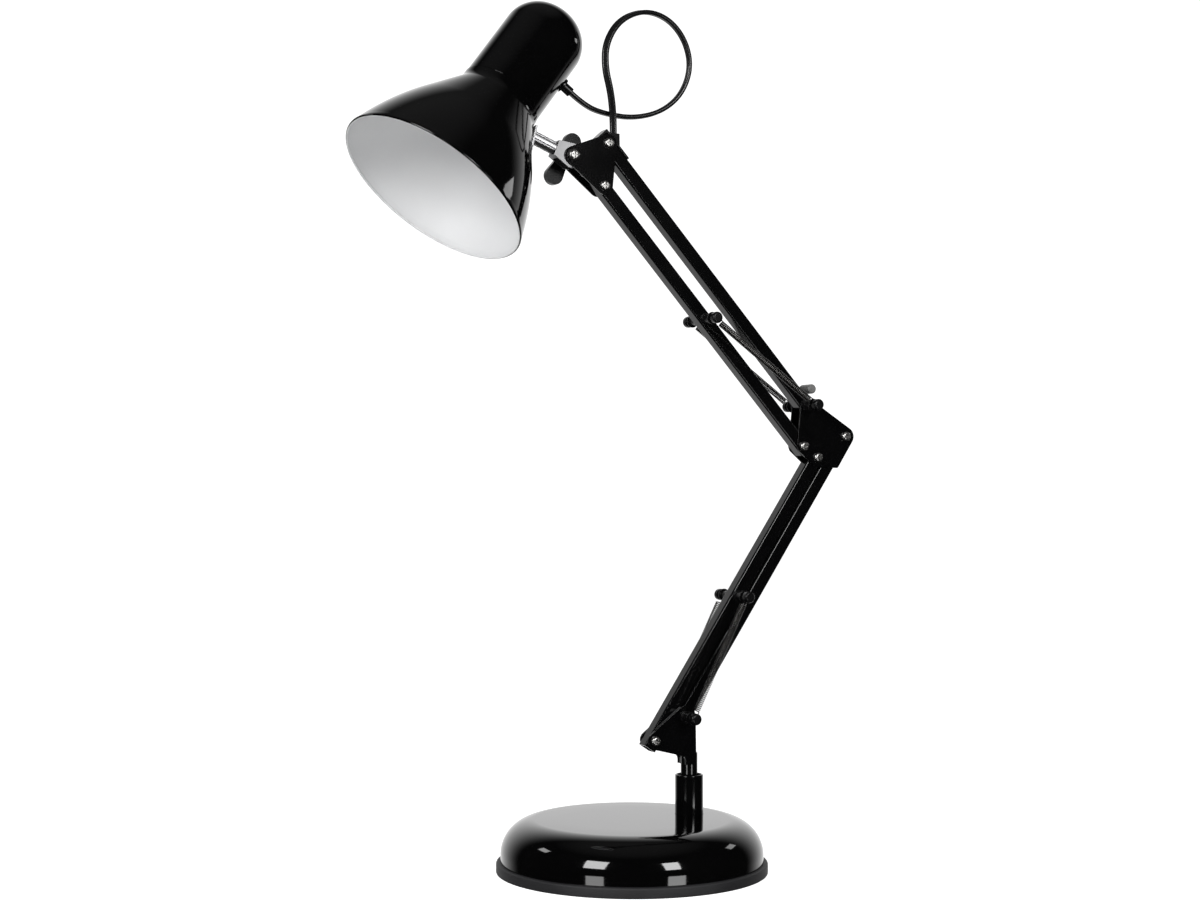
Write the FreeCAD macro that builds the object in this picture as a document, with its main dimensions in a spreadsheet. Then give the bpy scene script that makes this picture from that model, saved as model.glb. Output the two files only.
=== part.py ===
import FreeCAD, Part
import math
import os
import re

import Sketcher

# A spring-balanced desk lamp: a weighted round base, two parallelogram arms of square
# tube, a tilting and swivelling head, and one cord loop from the head to the upper arm.
# Frame: +Z up, origin at the middle of the base's underside, the arms in the XZ plane,
# the post at +X and the head reaching towards -X. All sizes are in millimetres.

SIZES = [
    # weighted base
    ("cover_radius", 92.0), ("rim_lip", 3.0), ("base_radius", "cover_radius + rim_lip"),
    ("rim_height", 7.2), ("rim_width", 7.0), ("rim_round", 0.8), ("rim_shelf", 6.0),
    ("cover_wall", 1.0), ("cover_top", 36.4), ("cover_bend", 24.0), ("plate_lift", 1.1),
    ("plate_wall", 1.5), ("weight_gap", 8.0),
    ("weight_radius", "base_radius - rim_width - weight_gap"), ("weight_depth", 16.0), ("boss_radius", 17.0), ("plate_screw_circle", 62.0),
    ("plate_screw_radius", 1.9), ("plate_screw_head", 3.6), ("plate_screw_wall", 0.8),
    ("plate_screw_length", 9.0), ("felt_radius", 52.0),
    # post socket and its bush
    ("post_offset", 45.5), ("post_radius", 10.0), ("post_wall", 1.5), ("post_top", 64.5),
    ("post_nut_height", 6.0), ("post_nut_flats", 30.0),
    ("bush_recess", 3.0), ("bush_floor", 2.0), ("pin_radius", 6.0),
    ("pin_foot", 38.1), ("pin_top", 80.0), ("thrust_gap", 0.1), ("collar_radius", 13.0),
    ("collar_depth", 3.0), ("socket_foot_gap", 0.3),
    # square tubes
    ("tube_width", 10.0), ("tube_wall", 1.0), ("tube_round", 1.2), ("tube_overrun", 6.5),
    ("elbow_overrun", 4.8),
    # cheeks, screws, studs
    ("cheek_wall", 1.2), ("screw_radius", 2.0), ("screw_head_radius", 3.6), ("thread_stub", 0.8),
    ("screw_head_height", 2.4), ("screw_head_round", 1.7), ("cross_width", 0.9),
    ("cross_reach", 2.1), ("cross_depth", 1.1), ("nut_flats", 7.0), ("nut_height", 3.2),
    ("stud_radius", 2.0), ("stud_reach", 21.6), ("spool_reach", 15.6), ("flange_radius", 4.5),
    ("flange_wall", 1.0), ("spool_radius", 3.1), ("cap_seat", 18.9), ("cap_radius", 4.1),
    ("cap_length", 4.6), ("cap_round", 1.6),
    # clearances
    ("run_gap", 0.05), ("side_gap", 0.3), ("open_gap", 0.4), ("seat_gap", 0.2),
    # swivel bracket
    ("pivot_back", 30.0), ("pivot_height", 90.0), ("lower_link_run", 24.0),
    ("lower_link_rise", 15.7), ("pivot_nose", 6.0), ("link_nose", 8.0), ("throat_radius", 4.0),
    ("throat_height", 74.7), ("bracket_foot", 72.0), ("bracket_back", 2.5), ("web_back", 5.5),
    ("web_top", 88.0),
    # lower arm
    ("lower_length", 241.0), ("lower_lean", 33.8), ("lower_anchor", 120.5),
    # elbow
    ("fold_back", 12.0), ("fold_rise", 8.1), ("upper_link_run", 3.0), ("upper_link_rise", 30.0),
    ("elbow_nose", 7.0), ("elbow_small_nose", 5.5), ("elbow_heel_run", 16.3),
    ("elbow_heel_drop", 6.2), ("elbow_heel_round", 1.5), ("stop_run", 4.2), ("stop_rise", 12.2),
    ("stop_radius", 3.5), ("stop_pin_radius", 1.5), ("stop_rivet_radius", 2.6),
    ("stop_rivet_height", 1.2), ("stop_round", 1.4),
    # upper arm
    ("upper_length", 242.0), ("upper_lean", 41.9), ("upper_anchor", 121.0),
    # head bracket and knuckle
    ("tilt_back", 24.0), ("tilt_rise", 19.6), ("head_nose", 6.3), ("tilt_head_radius", 4.4),
    ("tilt_head_height", 3.2), ("tilt_head_round", 2.6), ("tilt_reach", 15.5),
    ("knuckle_radius", 8.5), ("knuckle_wall", 1.5), ("knuckle_reach", 13.0),
    ("knuckle_half", 5.5), ("web_wall", 3.5), ("tongue_reach", 17.0), ("tongue_half", 2.2),
    ("tongue_angle", 32.0), ("clamp_washer_wall", 0.8), ("clamp_washer_radius", 6.0),
    ("wing_hub_radius", 6.0), ("wing_hub_length", 7.0), ("wing_wall", 4.5), ("wing_rim", 1.8),
    ("wing_recess", 1.5), ("wing_reach", 14.0), ("wing_lobe", 6.5), ("wing_root", 4.0),
    ("wing_turn", 30.0),
    # stem between the knuckle and the head
    ("stem_angle", 22.0), ("stem_radius", 4.7), ("stem_length", 27.5), ("spigot_radius", 2.4),
    ("rivet_radius", 3.2), ("rivet_wall", 2.0), ("groove_radius", 0.8), ("groove_count", 6),
    ("strip_length", 19.0), ("strip_width", 12.0), ("strip_wall", 1.5), ("strip_gap", 0.3),
    ("strip_slope", 22.4), ("strip_start", 0.5),
    # head: shade, housing and lamp holder
    ("head_run", 51.4), ("head_rise", 37.1), ("head_lean", 37.7), ("head_turn", 6.0),
    ("mouth_radius", 69.2), ("shade_length", 85.9), ("shade_wall", 0.8), ("shade_lip", 3.0),
    ("neck_radius", 29.6), ("neck_fillet", 11.7), ("neck_height", 3.5), ("bell_ease", 16.4),
    ("bell_share", 0.87), ("flange_bore", 20.4), ("housing_radius", 29.1), ("housing_wall", 1.2),
    ("housing_straight", 54.4), ("dome_height", 23.7), ("holder_radius", 19.9),
    ("holder_collar", 25.0), ("collar_wall", 3.0), ("holder_depth", 38.0), ("holder_wall", 2.4),
    ("holder_nose", 9.0), ("ring_radius", 25.0), ("ring_height", 4.0), ("thread_radius", 13.3),
    ("thread_wall", 0.5), ("thread_length", 24.0), ("contact_radius", 5.0),
    ("contact_gap", 3.0),
    # cord and its gland
    ("cord_radius", 2.6), ("gland_height", 40.0), ("gland_reach", 8.5),
    ("gland_flange_radius", 5.2), ("gland_flange_wall", 1.6), ("gland_radius", 4.0),
    ("gland_nose_radius", 3.4), ("gland_inner", 3.0), ("cap_wall", 1.5), ("cap_tongue", 18.0),
    ("cap_plug", 3.5), ("entry_across", 10.3), ("entry_along", 1.5), ("entry_half", 3.4),
    ("entry_root", 9.0),
    # springs
    ("spring_offset", 17.4), ("coil_radius", 2.6), ("wire_radius", 0.5), ("coil_turns", 24),
    ("spring_lead", 3.4), ("spring_shoulder", 4.2), ("hook_gap", 0.3),
]

doc = FreeCAD.newDocument("desk_lamp")
sheet = doc.addObject("Spreadsheet::Sheet", "Sizes")
for row, (name, size) in enumerate(SIZES, start=1):
    sheet.set("A%d" % row, name)
    sheet.set("B%d" % row, "=%s" % size)
    sheet.setAlias("B%d" % row, name)
doc.recompute()

ALIASES = {name for name, size in SIZES}
V = FreeCAD.Vector
Y_AXIS = V(0, 1, 0)
TO_NEAR_SIDE = FreeCAD.Rotation(V(1, 0, 0), 90)
TO_FAR_SIDE = FreeCAD.Rotation(V(1, 0, 0), -90)
nodes = []


# ---------------------------------------------------------------- sizes and places

def bound(text):
    """The text with each size's name turned into its cell on the sheet."""
    def cell(match):
        word = match.group(0)
        return "Sizes." + word if word in ALIASES else word
    return re.sub(r"[a-z][a-z_]*", cell, str(text))


def num(text):
    """The value, now, of an expression made of the sheet's sizes."""
    return float(sheet.evalExpression(bound(text)))


def turned(angle, axis=Y_AXIS):
    return FreeCAD.Rotation(axis, angle)


def arm_way(lean):
    """The direction of an arm that leans by this angle from upright towards +X."""
    return turned(lean).multVec(V(0, 0, 1))


CHEEK_OUT = "(tube_width / 2 + side_gap + cheek_wall)"
CHEEK_IN = "(tube_width / 2 + side_gap)"

post = V(num("post_offset"), 0, 0)
lower_pivot = post + V(-num("pivot_back"), 0, num("pivot_height"))
lower_link = V(num("lower_link_run"), 0, num("lower_link_rise"))
lower_link_pivot = lower_pivot + lower_link
lower_way = arm_way(num("lower_lean"))
elbow_main = lower_pivot + lower_way * num("lower_length")
elbow_link = elbow_main + lower_link
upper_pivot = elbow_main + V(-num("fold_back"), 0, num("fold_rise"))
upper_link = V(num("upper_link_run"), 0, num("upper_link_rise"))
upper_link_pivot = upper_pivot + upper_link
upper_way = arm_way(-num("upper_lean"))
head_main = upper_pivot + upper_way * num("upper_length")
head_link = head_main + upper_link
tilt_pivot = head_main + V(-num("tilt_back"), 0, num("tilt_rise"))
lower_mid = lower_pivot + lower_way * num("lower_anchor")
upper_mid = upper_pivot + upper_way * num("upper_anchor")
stem_turn = turned(180 + num("stem_angle"))
stem_way = stem_turn.multVec(V(1, 0, 0))
head_swivel = FreeCAD.Rotation(stem_way, num("head_turn"))
head_turned = head_swivel * turned(num("head_lean"))
head_reach = V(-num("head_run"), 0, num("head_rise"))
head_frame = FreeCAD.Placement(tilt_pivot + head_swivel.multVec(head_reach), head_turned)
knuckle_frame = FreeCAD.Placement(tilt_pivot, stem_turn)
swivelled_knuckle = FreeCAD.Placement(tilt_pivot, head_swivel * stem_turn)


# ---------------------------------------------------------------- sketch and body tools

def new_body(label):
    body = doc.addObject("PartDesign::Body", label)
    body.Label = label
    return body


def origin_plane(body, role):
    return [plane for plane in body.Origin.OriginFeatures if plane.Role == role][0]


def new_sketch(body, role, lift="0"):
    """A sketch on one of the body's own origin planes, lifted along the plane's normal."""
    sketch = body.newObject("Sketcher::SketchObject", body.Name + "_sketch")
    sketch.AttachmentSupport = (origin_plane(body, role), [""])
    sketch.MapMode = "FlatFace"
    sketch.setExpression("AttachmentOffset.Base.z", bound(lift))
    return sketch


def fix(sketch, kind, where, text):
    """One driving dimension of a sketch, tied to the sheet."""
    index = sketch.addConstraint(Sketcher.Constraint(kind, *where, num(text)))
    sketch.setExpression("Constraints[%d]" % index, bound(text))


def pin_point(sketch, shape, end, x_text, y_text):
    fix(sketch, "DistanceX", (-1, 1, shape, end), x_text)
    fix(sketch, "DistanceY", (-1, 1, shape, end), y_text)


def add_circle(sketch, x_text, y_text, radius_text):
    centre = V(num(x_text), num(y_text), 0)
    circle = sketch.addGeometry(Part.Circle(centre, V(0, 0, 1), num(radius_text)))
    pin_point(sketch, circle, 3, x_text, y_text)
    fix(sketch, "Radius", (circle,), radius_text)


def corner_parts(corner):
    """A corner's x, y, signed radius and radius text; a fourth entry bends it inwards."""
    x_text, y_text = corner[:2]
    radius_text = corner[2] if len(corner) > 2 else "0"
    sign = -1 if len(corner) > 3 else 1
    return num(x_text), num(y_text), sign * num(radius_text), radius_text


def add_outline(sketch, corners):
    """A closed loop, counter-clockwise, of straight runs that touch a circle at each corner.

    A corner is (x, y) where it is sharp, (x, y, radius) where it is rounded about that
    centre, and (x, y, radius, "in") where the loop bends the other way round the centre.
    """
    spots = [corner_parts(corner) for corner in corners]
    count = len(spots)
    normals = []
    lines = []
    for i in range(count):
        x0, y0, r0 = spots[i][:3]
        x1, y1, r1 = spots[(i + 1) % count][:3]
        span = math.hypot(x1 - x0, y1 - y0)
        way = math.atan2(y1 - y0, x1 - x0) - math.asin((r1 - r0) / span)
        normal = V(-math.sin(way), math.cos(way), 0)
        start = V(x0, y0, 0) - normal * r0
        end = V(x1, y1, 0) - normal * r1
        normals.append(normal)
        lines.append(sketch.addGeometry(Part.LineSegment(start, end)))
    for i in range(count):
        x, y, radius, radius_text = spots[i]
        before, after = lines[i - 1], lines[i]
        if radius == 0:
            sketch.addConstraint(Sketcher.Constraint("Coincident", before, 2, after, 1))
            pin_point(sketch, after, 1, corners[i][0], corners[i][1])
            continue
        ends = [-normals[i - 1], -normals[i]]
        first, last = 1, 2
        if radius < 0:
            ends = [normals[i], normals[i - 1]]
            first, last = 2, 1
        start_angle, end_angle = [math.atan2(end.y, end.x) for end in ends]
        if end_angle < start_angle:
            end_angle += 2 * math.pi
        round_edge = Part.Circle(V(x, y, 0), V(0, 0, 1), abs(radius))
        arc = sketch.addGeometry(Part.ArcOfCircle(round_edge, start_angle, end_angle))
        sketch.addConstraint(Sketcher.Constraint("Tangent", before, 2, arc, first))
        sketch.addConstraint(Sketcher.Constraint("Tangent", arc, last, after, 1))
        pin_point(sketch, arc, 3, corners[i][0], corners[i][1])
        fix(sketch, "Radius", (arc,), radius_text)


def box_corners(left, right, low, high):
    return [(left, low), (right, low), (right, high), (left, high)]


def square_corners(half, rounding):
    """A square about the origin with rounded corners."""
    inner = "(%s) - (%s)" % (half, rounding)
    outer = "-(%s)" % inner
    return [(inner, outer, rounding), (inner, inner, rounding),
            (outer, inner, rounding), (outer, outer, rounding)]


def pad(body, sketch, length, both_ways=False):
    feature = body.newObject("PartDesign::Pad", body.Name + "_pad")
    feature.Profile = sketch
    feature.Midplane = both_ways
    feature.setExpression("Length", bound(length))
    doc.recompute()
    return feature


def spin(body, sketch, axis="V_Axis"):
    """The sketch turned all the way round one of its own axes."""
    feature = body.newObject("PartDesign::Revolution", body.Name + "_turned")
    feature.Profile = sketch
    feature.ReferenceAxis = (sketch, [axis])
    feature.Angle = 360
    doc.recompute()
    return feature


def cut(body, sketch, depth=None, forwards=False):
    """Cut the sketch through everything, or to a depth, and check that metal was removed."""
    before = body.Shape.Volume
    feature = body.newObject("PartDesign::Pocket", body.Name + "_pocket")
    feature.Profile = sketch
    if depth is None:
        feature.Type = "ThroughAll"
        feature.Midplane = True
    else:
        feature.setExpression("Length", bound(depth))
        feature.Reversed = forwards
    doc.recompute()
    if not body.Shape.Volume < before - 1e-6:
        raise RuntimeError("a cut removed nothing from " + body.Label)
    return feature


def turned_body(label, corners, role="XZ_Plane", axis="V_Axis"):
    body = new_body(label)
    sketch = new_sketch(body, role)
    add_outline(sketch, corners)
    spin(body, sketch, axis)
    return body


def keep(part, place=None):
    """List a finished piece as a node of the lamp, at its place."""
    if place is not None:
        part.Placement = place
    nodes.append(part)
    return part


def at(point, rotation=None):
    return FreeCAD.Placement(point, rotation or FreeCAD.Rotation())


def group(label, master, places):
    """Copies of one fastener as a group of separate solids, one at each place."""
    copies = []
    for place in places:
        copy = master.Shape.copy()
        copy.Placement = place
        copies.append(copy)
    node = doc.addObject("Part::Feature", label)
    node.Label = label
    node.Shape = copies[0] if len(copies) == 1 else Part.makeCompound(copies)
    return keep(node)


# ---------------------------------------------------------------- base

PLATE_TOP = "(plate_lift + plate_wall)"
WEIGHT_TOP = "(plate_lift + plate_wall + weight_depth)"
RIM_INNER = "(base_radius - rim_width)"
COVER_UNDER = "(cover_top - cover_wall)"
SOCKET_FOOT = "(plate_lift + plate_wall + socket_foot_gap)"
BUSH_FOOT = "(pin_foot - thrust_gap - bush_floor)"
BORE = "(post_radius - post_wall)"
BOLT_TURNS = [60, 180, 300]


def drill_plate_holes(body, lift, depth=None):
    """The three screw holes on their circle."""
    sketch = new_sketch(body, "XY_Plane", lift)
    for turn in BOLT_TURNS:
        add_circle(sketch, "plate_screw_circle * cos(%d deg)" % turn,
                   "plate_screw_circle * sin(%d deg)" % turn, "plate_screw_radius + run_gap")
    cut(body, sketch, depth, True)


def bore_at_post(body, radius, lift="0", depth=None):
    sketch = new_sketch(body, "XY_Plane", lift)
    add_circle(sketch, "post_offset", "0", radius)
    cut(body, sketch, depth, True)


def base_pieces():
    """The soft rim, the pressed cover, the iron weight, the bottom plate, its felt and screws."""
    keep(turned_body("rim_ring", [
        (RIM_INNER, "0"), ("base_radius", "0"),
        ("base_radius - rim_round", "rim_height - rim_round", "rim_round"),
        ("cover_radius - rim_shelf", "rim_height"), ("cover_radius - rim_shelf", PLATE_TOP),
        (RIM_INNER, PLATE_TOP)]))

    bend_x, bend_y = "cover_radius - cover_bend", "cover_top - cover_bend"
    cover = turned_body("base_cover", [
        ("cover_radius - cover_wall", "rim_height"), ("cover_radius", "rim_height"),
        (bend_x, bend_y, "cover_bend"), ("0", "cover_top"), ("0", COVER_UNDER),
        (bend_x, bend_y, "cover_bend - cover_wall", "in")])
    bore_at_post(cover, "post_radius + seat_gap")
    keep(cover)

    weight = turned_body("base_weight", box_corners("0", "weight_radius", PLATE_TOP, WEIGHT_TOP))
    boss = new_sketch(weight, "XY_Plane", PLATE_TOP)
    add_circle(boss, "post_offset", "0", "boss_radius")
    pad(weight, boss, COVER_UNDER + " - " + PLATE_TOP)
    bore_at_post(weight, "post_radius + seat_gap")
    bore_at_post(weight, "post_nut_flats / sqrt(3) + side_gap", PLATE_TOP,
                 "post_nut_height + 2 * socket_foot_gap")
    bore_at_post(weight, "collar_radius + seat_gap", COVER_UNDER + " - collar_depth",
                 "2 * collar_depth")
    drill_plate_holes(weight, PLATE_TOP, "plate_screw_length + side_gap")
    keep(weight)

    plate = new_body("bottom_plate")
    disc = new_sketch(plate, "XY_Plane", "plate_lift")
    add_circle(disc, "0", "0", RIM_INNER + " - side_gap")
    pad(plate, disc, "plate_wall")
    drill_plate_holes(plate, "0")
    keep(plate)

    felt = new_body("felt_pad")
    sheet_disc = new_sketch(felt, "XY_Plane")
    add_circle(sheet_disc, "0", "0", "felt_radius")
    pad(felt, sheet_disc, "plate_lift")
    keep(felt)

    screw = turned_body("plate_screw", [
        ("0", "plate_lift - plate_screw_wall"), ("plate_screw_head", "plate_lift - plate_screw_wall"),
        ("plate_screw_head", "plate_lift"), ("plate_screw_radius", "plate_lift"),
        ("plate_screw_radius", "plate_screw_length"), ("0", "plate_screw_length")])
    spots = [turned(turn, V(0, 0, 1)).multVec(V(num("plate_screw_circle"), 0, 0))
             for turn in BOLT_TURNS]
    group("bottom_screws", screw, [at(spot) for spot in spots])


def post_pieces():
    """The tubular post with its collar, the nut below it and the cup-shaped bush in its bore."""
    keep(turned_body("post_socket", [
        (BORE + " - post_wall", SOCKET_FOOT), ("post_radius", SOCKET_FOOT),
        ("post_radius", COVER_UNDER + " - collar_depth"),
        ("collar_radius", COVER_UNDER + " - collar_depth"), ("collar_radius", COVER_UNDER),
        ("post_radius", COVER_UNDER), ("post_radius", "post_top"), (BORE, "post_top"),
        (BORE, BUSH_FOOT), (BORE + " - post_wall", BUSH_FOOT)]), at(post))

    nut = new_body("post_nut")
    profile = new_sketch(nut, "XY_Plane", SOCKET_FOOT)
    add_outline(profile, hex_corners("post_nut_flats"))
    add_circle(profile, "0", "0", "post_radius + run_gap")
    pad(nut, profile, "post_nut_height")
    keep(nut, at(post))

    keep(turned_body("post_bush", [
        ("0", BUSH_FOOT), (BORE, BUSH_FOOT), (BORE, "post_top - bush_recess"),
        ("pin_radius + run_gap", "post_top - bush_recess"),
        ("pin_radius + run_gap", "pin_foot - thrust_gap"), ("0", "pin_foot - thrust_gap")]),
        at(post))


# ---------------------------------------------------------------- screws, studs and spools

def hex_corners(flats):
    """Six corners of a hexagon about the origin, from its width across flats."""
    return [("%s / sqrt(3) * cos(%d deg)" % (flats, 60 * k),
             "%s / sqrt(3) * sin(%d deg)" % (flats, 60 * k)) for k in range(6)]


def cross_recess(body, top, half_width, reach, depth):
    """A cross-shaped driver recess, sunk from the top of a screw's head."""
    sketch = new_sketch(body, "XY_Plane", top)
    w, r = half_width, reach
    add_outline(sketch, [
        ("-(%s)" % w, "-(%s)" % r), (w, "-(%s)" % r), (w, "-(%s)" % w), (r, "-(%s)" % w),
        (r, w), (w, w), (w, r), ("-(%s)" % w, r), ("-(%s)" % w, w), ("-(%s)" % r, w),
        ("-(%s)" % r, "-(%s)" % w), ("-(%s)" % w, "-(%s)" % w)])
    cut(body, sketch, depth)


def screw_master(label, radius, height, rounding, length):
    """A round-headed screw: the head above its seat at height 0, the shank below it."""
    screw = turned_body(label, [
        ("0", "-(%s)" % length), ("screw_radius", "-(%s)" % length), ("screw_radius", "0"),
        (radius, "0"), ("%s - %s" % (radius, rounding), "%s - %s" % (height, rounding), rounding),
        ("0", height)])
    cross_recess(screw, height, "cross_width / 2", "cross_reach", "cross_depth")
    return screw


def nut_master():
    """A hexagon nut standing on its seat."""
    nut = new_body("pivot_nut")
    profile = new_sketch(nut, "XY_Plane")
    add_outline(profile, hex_corners("nut_flats"))
    add_circle(profile, "0", "0", "screw_radius + run_gap")
    pad(nut, profile, "nut_height")
    return nut


def spool_master(label, foot):
    """A sleeve between two flanges, from its foot's distance to the spring's inner side."""
    return turned_body(label, [
        ("stud_radius + run_gap", foot), ("flange_radius", foot),
        ("flange_radius", foot + " + flange_wall"), ("spool_radius", foot + " + flange_wall"),
        ("spool_radius", "spool_reach - flange_wall"),
        ("flange_radius", "spool_reach - flange_wall"), ("flange_radius", "spool_reach"),
        ("stud_radius + run_gap", "spool_reach")])


def stud_master():
    stud = new_body("anchor_stud")
    profile = new_sketch(stud, "XZ_Plane")
    add_circle(profile, "0", "0", "stud_radius")
    pad(stud, profile, "2 * stud_reach", True)
    return stud


def cap_master():
    """A rounded cap, blind-bored for the end of the stud."""
    return turned_body("anchor_cap", [
        ("stud_radius + run_gap", "cap_seat"), ("cap_radius", "cap_seat"),
        ("cap_radius - cap_round", "cap_seat + cap_length - cap_round", "cap_round"),
        ("0", "cap_seat + cap_length"), ("0", "stud_reach + run_gap"),
        ("stud_radius + run_gap", "stud_reach + run_gap")])


LONG_SHANK = "(2 * %s + nut_height + thread_stub)" % CHEEK_OUT
screws = screw_master("pivot_screw", "screw_head_radius", "screw_head_height",
                      "screw_head_round", LONG_SHANK)
nuts = nut_master()
studs = stud_master()
caps = cap_master()
bracket_spool = spool_master("bracket_spool", CHEEK_OUT)
tube_spool = spool_master("tube_spool", "tube_width / 2")


def near(point):
    """Where a screw's head sits: on the outer face of the cheek nearer the viewer."""
    return at(point - Y_AXIS * num(CHEEK_OUT), TO_NEAR_SIDE)


def far(point):
    """Where a nut sits: on the outer face of the cheek further from the viewer."""
    return at(point + Y_AXIS * num(CHEEK_OUT), TO_FAR_SIDE)


def both_sides(point):
    return [at(point, TO_NEAR_SIDE), at(point, TO_FAR_SIDE)]


def anchor_pieces(name, point, spool):
    """A cross stud for one pair of springs, with its spools and end caps."""
    group(name + "_stud", studs, [at(point)])
    group(name + "_spools", spool, both_sides(point))
    group(name + "_caps", caps, both_sides(point))


# ---------------------------------------------------------------- swivel bracket

def swivel_bracket_pieces():
    """One piece: the pin in the post's bush, and two cheeks joined by a web above it."""
    bracket = new_body("lower_bracket")
    post_x = "post_offset"
    pivot_x, pivot_z = "(post_offset - pivot_back)", "pivot_height"
    link_x = "(post_offset - pivot_back + lower_link_run)"
    link_z = "(pivot_height + lower_link_rise)"
    throat_x = "(post_offset - pin_radius - throat_radius)"
    back_x = "(post_offset + bracket_back)"
    plates = new_sketch(bracket, "XZ_Plane")
    add_outline(plates, [
        ("post_offset - pin_radius", "bracket_foot"), (back_x, "bracket_foot"),
        (link_x, link_z, "link_nose"), (pivot_x, pivot_z, "pivot_nose"),
        (throat_x, "throat_height", "throat_radius", "in")])
    pad(bracket, plates, "2 * " + CHEEK_OUT, True)
    gap = new_sketch(bracket, "XZ_Plane")
    low, high = "(bracket_foot - 1)", "(%s + 2 * link_nose)" % link_z
    left, right = "(%s - 2 * pivot_nose)" % pivot_x, "(%s + 2 * link_nose)" % link_x
    web_x = "(%s - web_back)" % post_x
    add_outline(gap, [(left, low), (web_x, low), (web_x, "web_top"), (right, "web_top"),
                      (right, high), (left, high)])
    middle = bracket.newObject("PartDesign::Pocket", "bracket_gap")
    middle.Profile = gap
    middle.Midplane = True
    middle.setExpression("Length", bound("2 * " + CHEEK_IN))
    doc.recompute()
    pin = new_sketch(bracket, "XY_Plane", "pin_foot")
    add_circle(pin, post_x, "0", "pin_radius")
    pad(bracket, pin, "pin_top - pin_foot")
    holes = new_sketch(bracket, "XZ_Plane")
    add_circle(holes, pivot_x, pivot_z, "screw_radius + run_gap")
    add_circle(holes, link_x, link_z, "stud_radius + run_gap")
    cut(bracket, holes)
    keep(bracket)

    group("lower_pivot_screw", screws, [near(lower_pivot)])
    group("lower_pivot_nut", nuts, [far(lower_pivot)])
    anchor_pieces("lower_anchor", lower_link_pivot, bracket_spool)


# ---------------------------------------------------------------- arm tubes

def square_tube(label, place, length, far_overrun, holes, near_overrun="tube_overrun"):
    """A square tube between two pivots, drilled across at (height, radius) places."""
    tube = new_body(label)
    profile = new_sketch(tube, "XY_Plane", "-(%s)" % near_overrun)
    add_outline(profile, square_corners("tube_width / 2", "tube_round"))
    add_outline(profile, square_corners("tube_width / 2 - tube_wall", "tube_round - tube_wall"))
    pad(tube, profile, "%s + %s + %s" % (length, near_overrun, far_overrun))
    across = new_sketch(tube, "XZ_Plane")
    for height, radius in holes:
        add_circle(across, "0", height, radius)
    cut(tube, across)
    return keep(tube, place)


def arm_pieces():
    """Both parallelograms: a main tube with its spring stud, and a link tube, for each arm."""
    pin_hole = "screw_radius + run_gap"
    open_hole = "screw_radius + open_gap"
    lower_turn, upper_turn = turned(num("lower_lean")), turned(-num("upper_lean"))
    square_tube("lower_main_tube", at(lower_pivot, lower_turn), "lower_length", "elbow_overrun",
                [("0", pin_hole), ("lower_anchor", pin_hole), ("lower_length", pin_hole)])
    square_tube("lower_link_tube", at(lower_link_pivot, lower_turn), "lower_length",
                "tube_overrun", [("0", pin_hole), ("lower_length", open_hole)])
    square_tube("upper_main_tube", at(upper_pivot, upper_turn), "upper_length", "tube_overrun",
                [("0", pin_hole), ("upper_anchor", pin_hole), ("upper_length", pin_hole)],
                "elbow_overrun")
    square_tube("upper_link_tube", at(upper_link_pivot, upper_turn), "upper_length",
                "tube_overrun", [("0", pin_hole), ("upper_length", open_hole)])
    anchor_pieces("lower_mid", lower_mid, tube_spool)
    anchor_pieces("upper_mid", upper_mid, tube_spool)
    keep(end_cap(), at(upper_link_pivot, upper_turn))


def end_cap():
    """The moulded cap on the upper link tube: a plug, a lid, a tongue and the cord's entry."""
    cap = new_body("tube_end_cap")
    half, lid = "tube_width / 2", "(upper_length + tube_overrun)"
    lip = "(tube_width / 2 + cap_wall)"
    shell = new_sketch(cap, "XZ_Plane")
    add_outline(shell, [
        (half, "upper_length - cap_tongue"), (lip, "upper_length - cap_tongue"),
        (lip, lid + " + cap_wall"), ("-(%s)" % half, lid + " + cap_wall"),
        ("-(%s)" % half, lid), (half, lid)])
    pad(cap, shell, "tube_width", True)
    plug = new_sketch(cap, "XY_Plane", lid + " - cap_plug")
    add_outline(plug, square_corners("tube_width / 2 - tube_wall - run_gap", "tube_round"))
    pad(cap, plug, "cap_plug + cap_wall / 2")
    wedge = new_sketch(cap, "XZ_Plane")
    slant_x = "entry_half * cos(upper_lean)"
    slant_z = "entry_half * sin(upper_lean)"
    mid_x, mid_z = "entry_across", "(upper_length + entry_along)"
    add_outline(wedge, [
        (lip + " - cap_wall / 2", "upper_length - entry_root"),
        ("%s + %s" % (mid_x, slant_x), "%s - %s" % (mid_z, slant_z)),
        ("%s - %s" % (mid_x, slant_x), "%s + %s" % (mid_z, slant_z)),
        (lip + " - cap_wall / 2", "%s + %s" % (mid_z, slant_z))])
    pad(cap, wedge, "2 * entry_half", True)
    return cap


# ---------------------------------------------------------------- elbow

ELBOW_A = ("-(fold_back)", "fold_rise")
ELBOW_B = ("lower_link_run", "lower_link_rise")
ELBOW_D = ("upper_link_run - fold_back", "upper_link_rise + fold_rise")
ELBOW_STOP = ("upper_link_run - fold_back + stop_run", "upper_link_rise + fold_rise + stop_rise")


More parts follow.
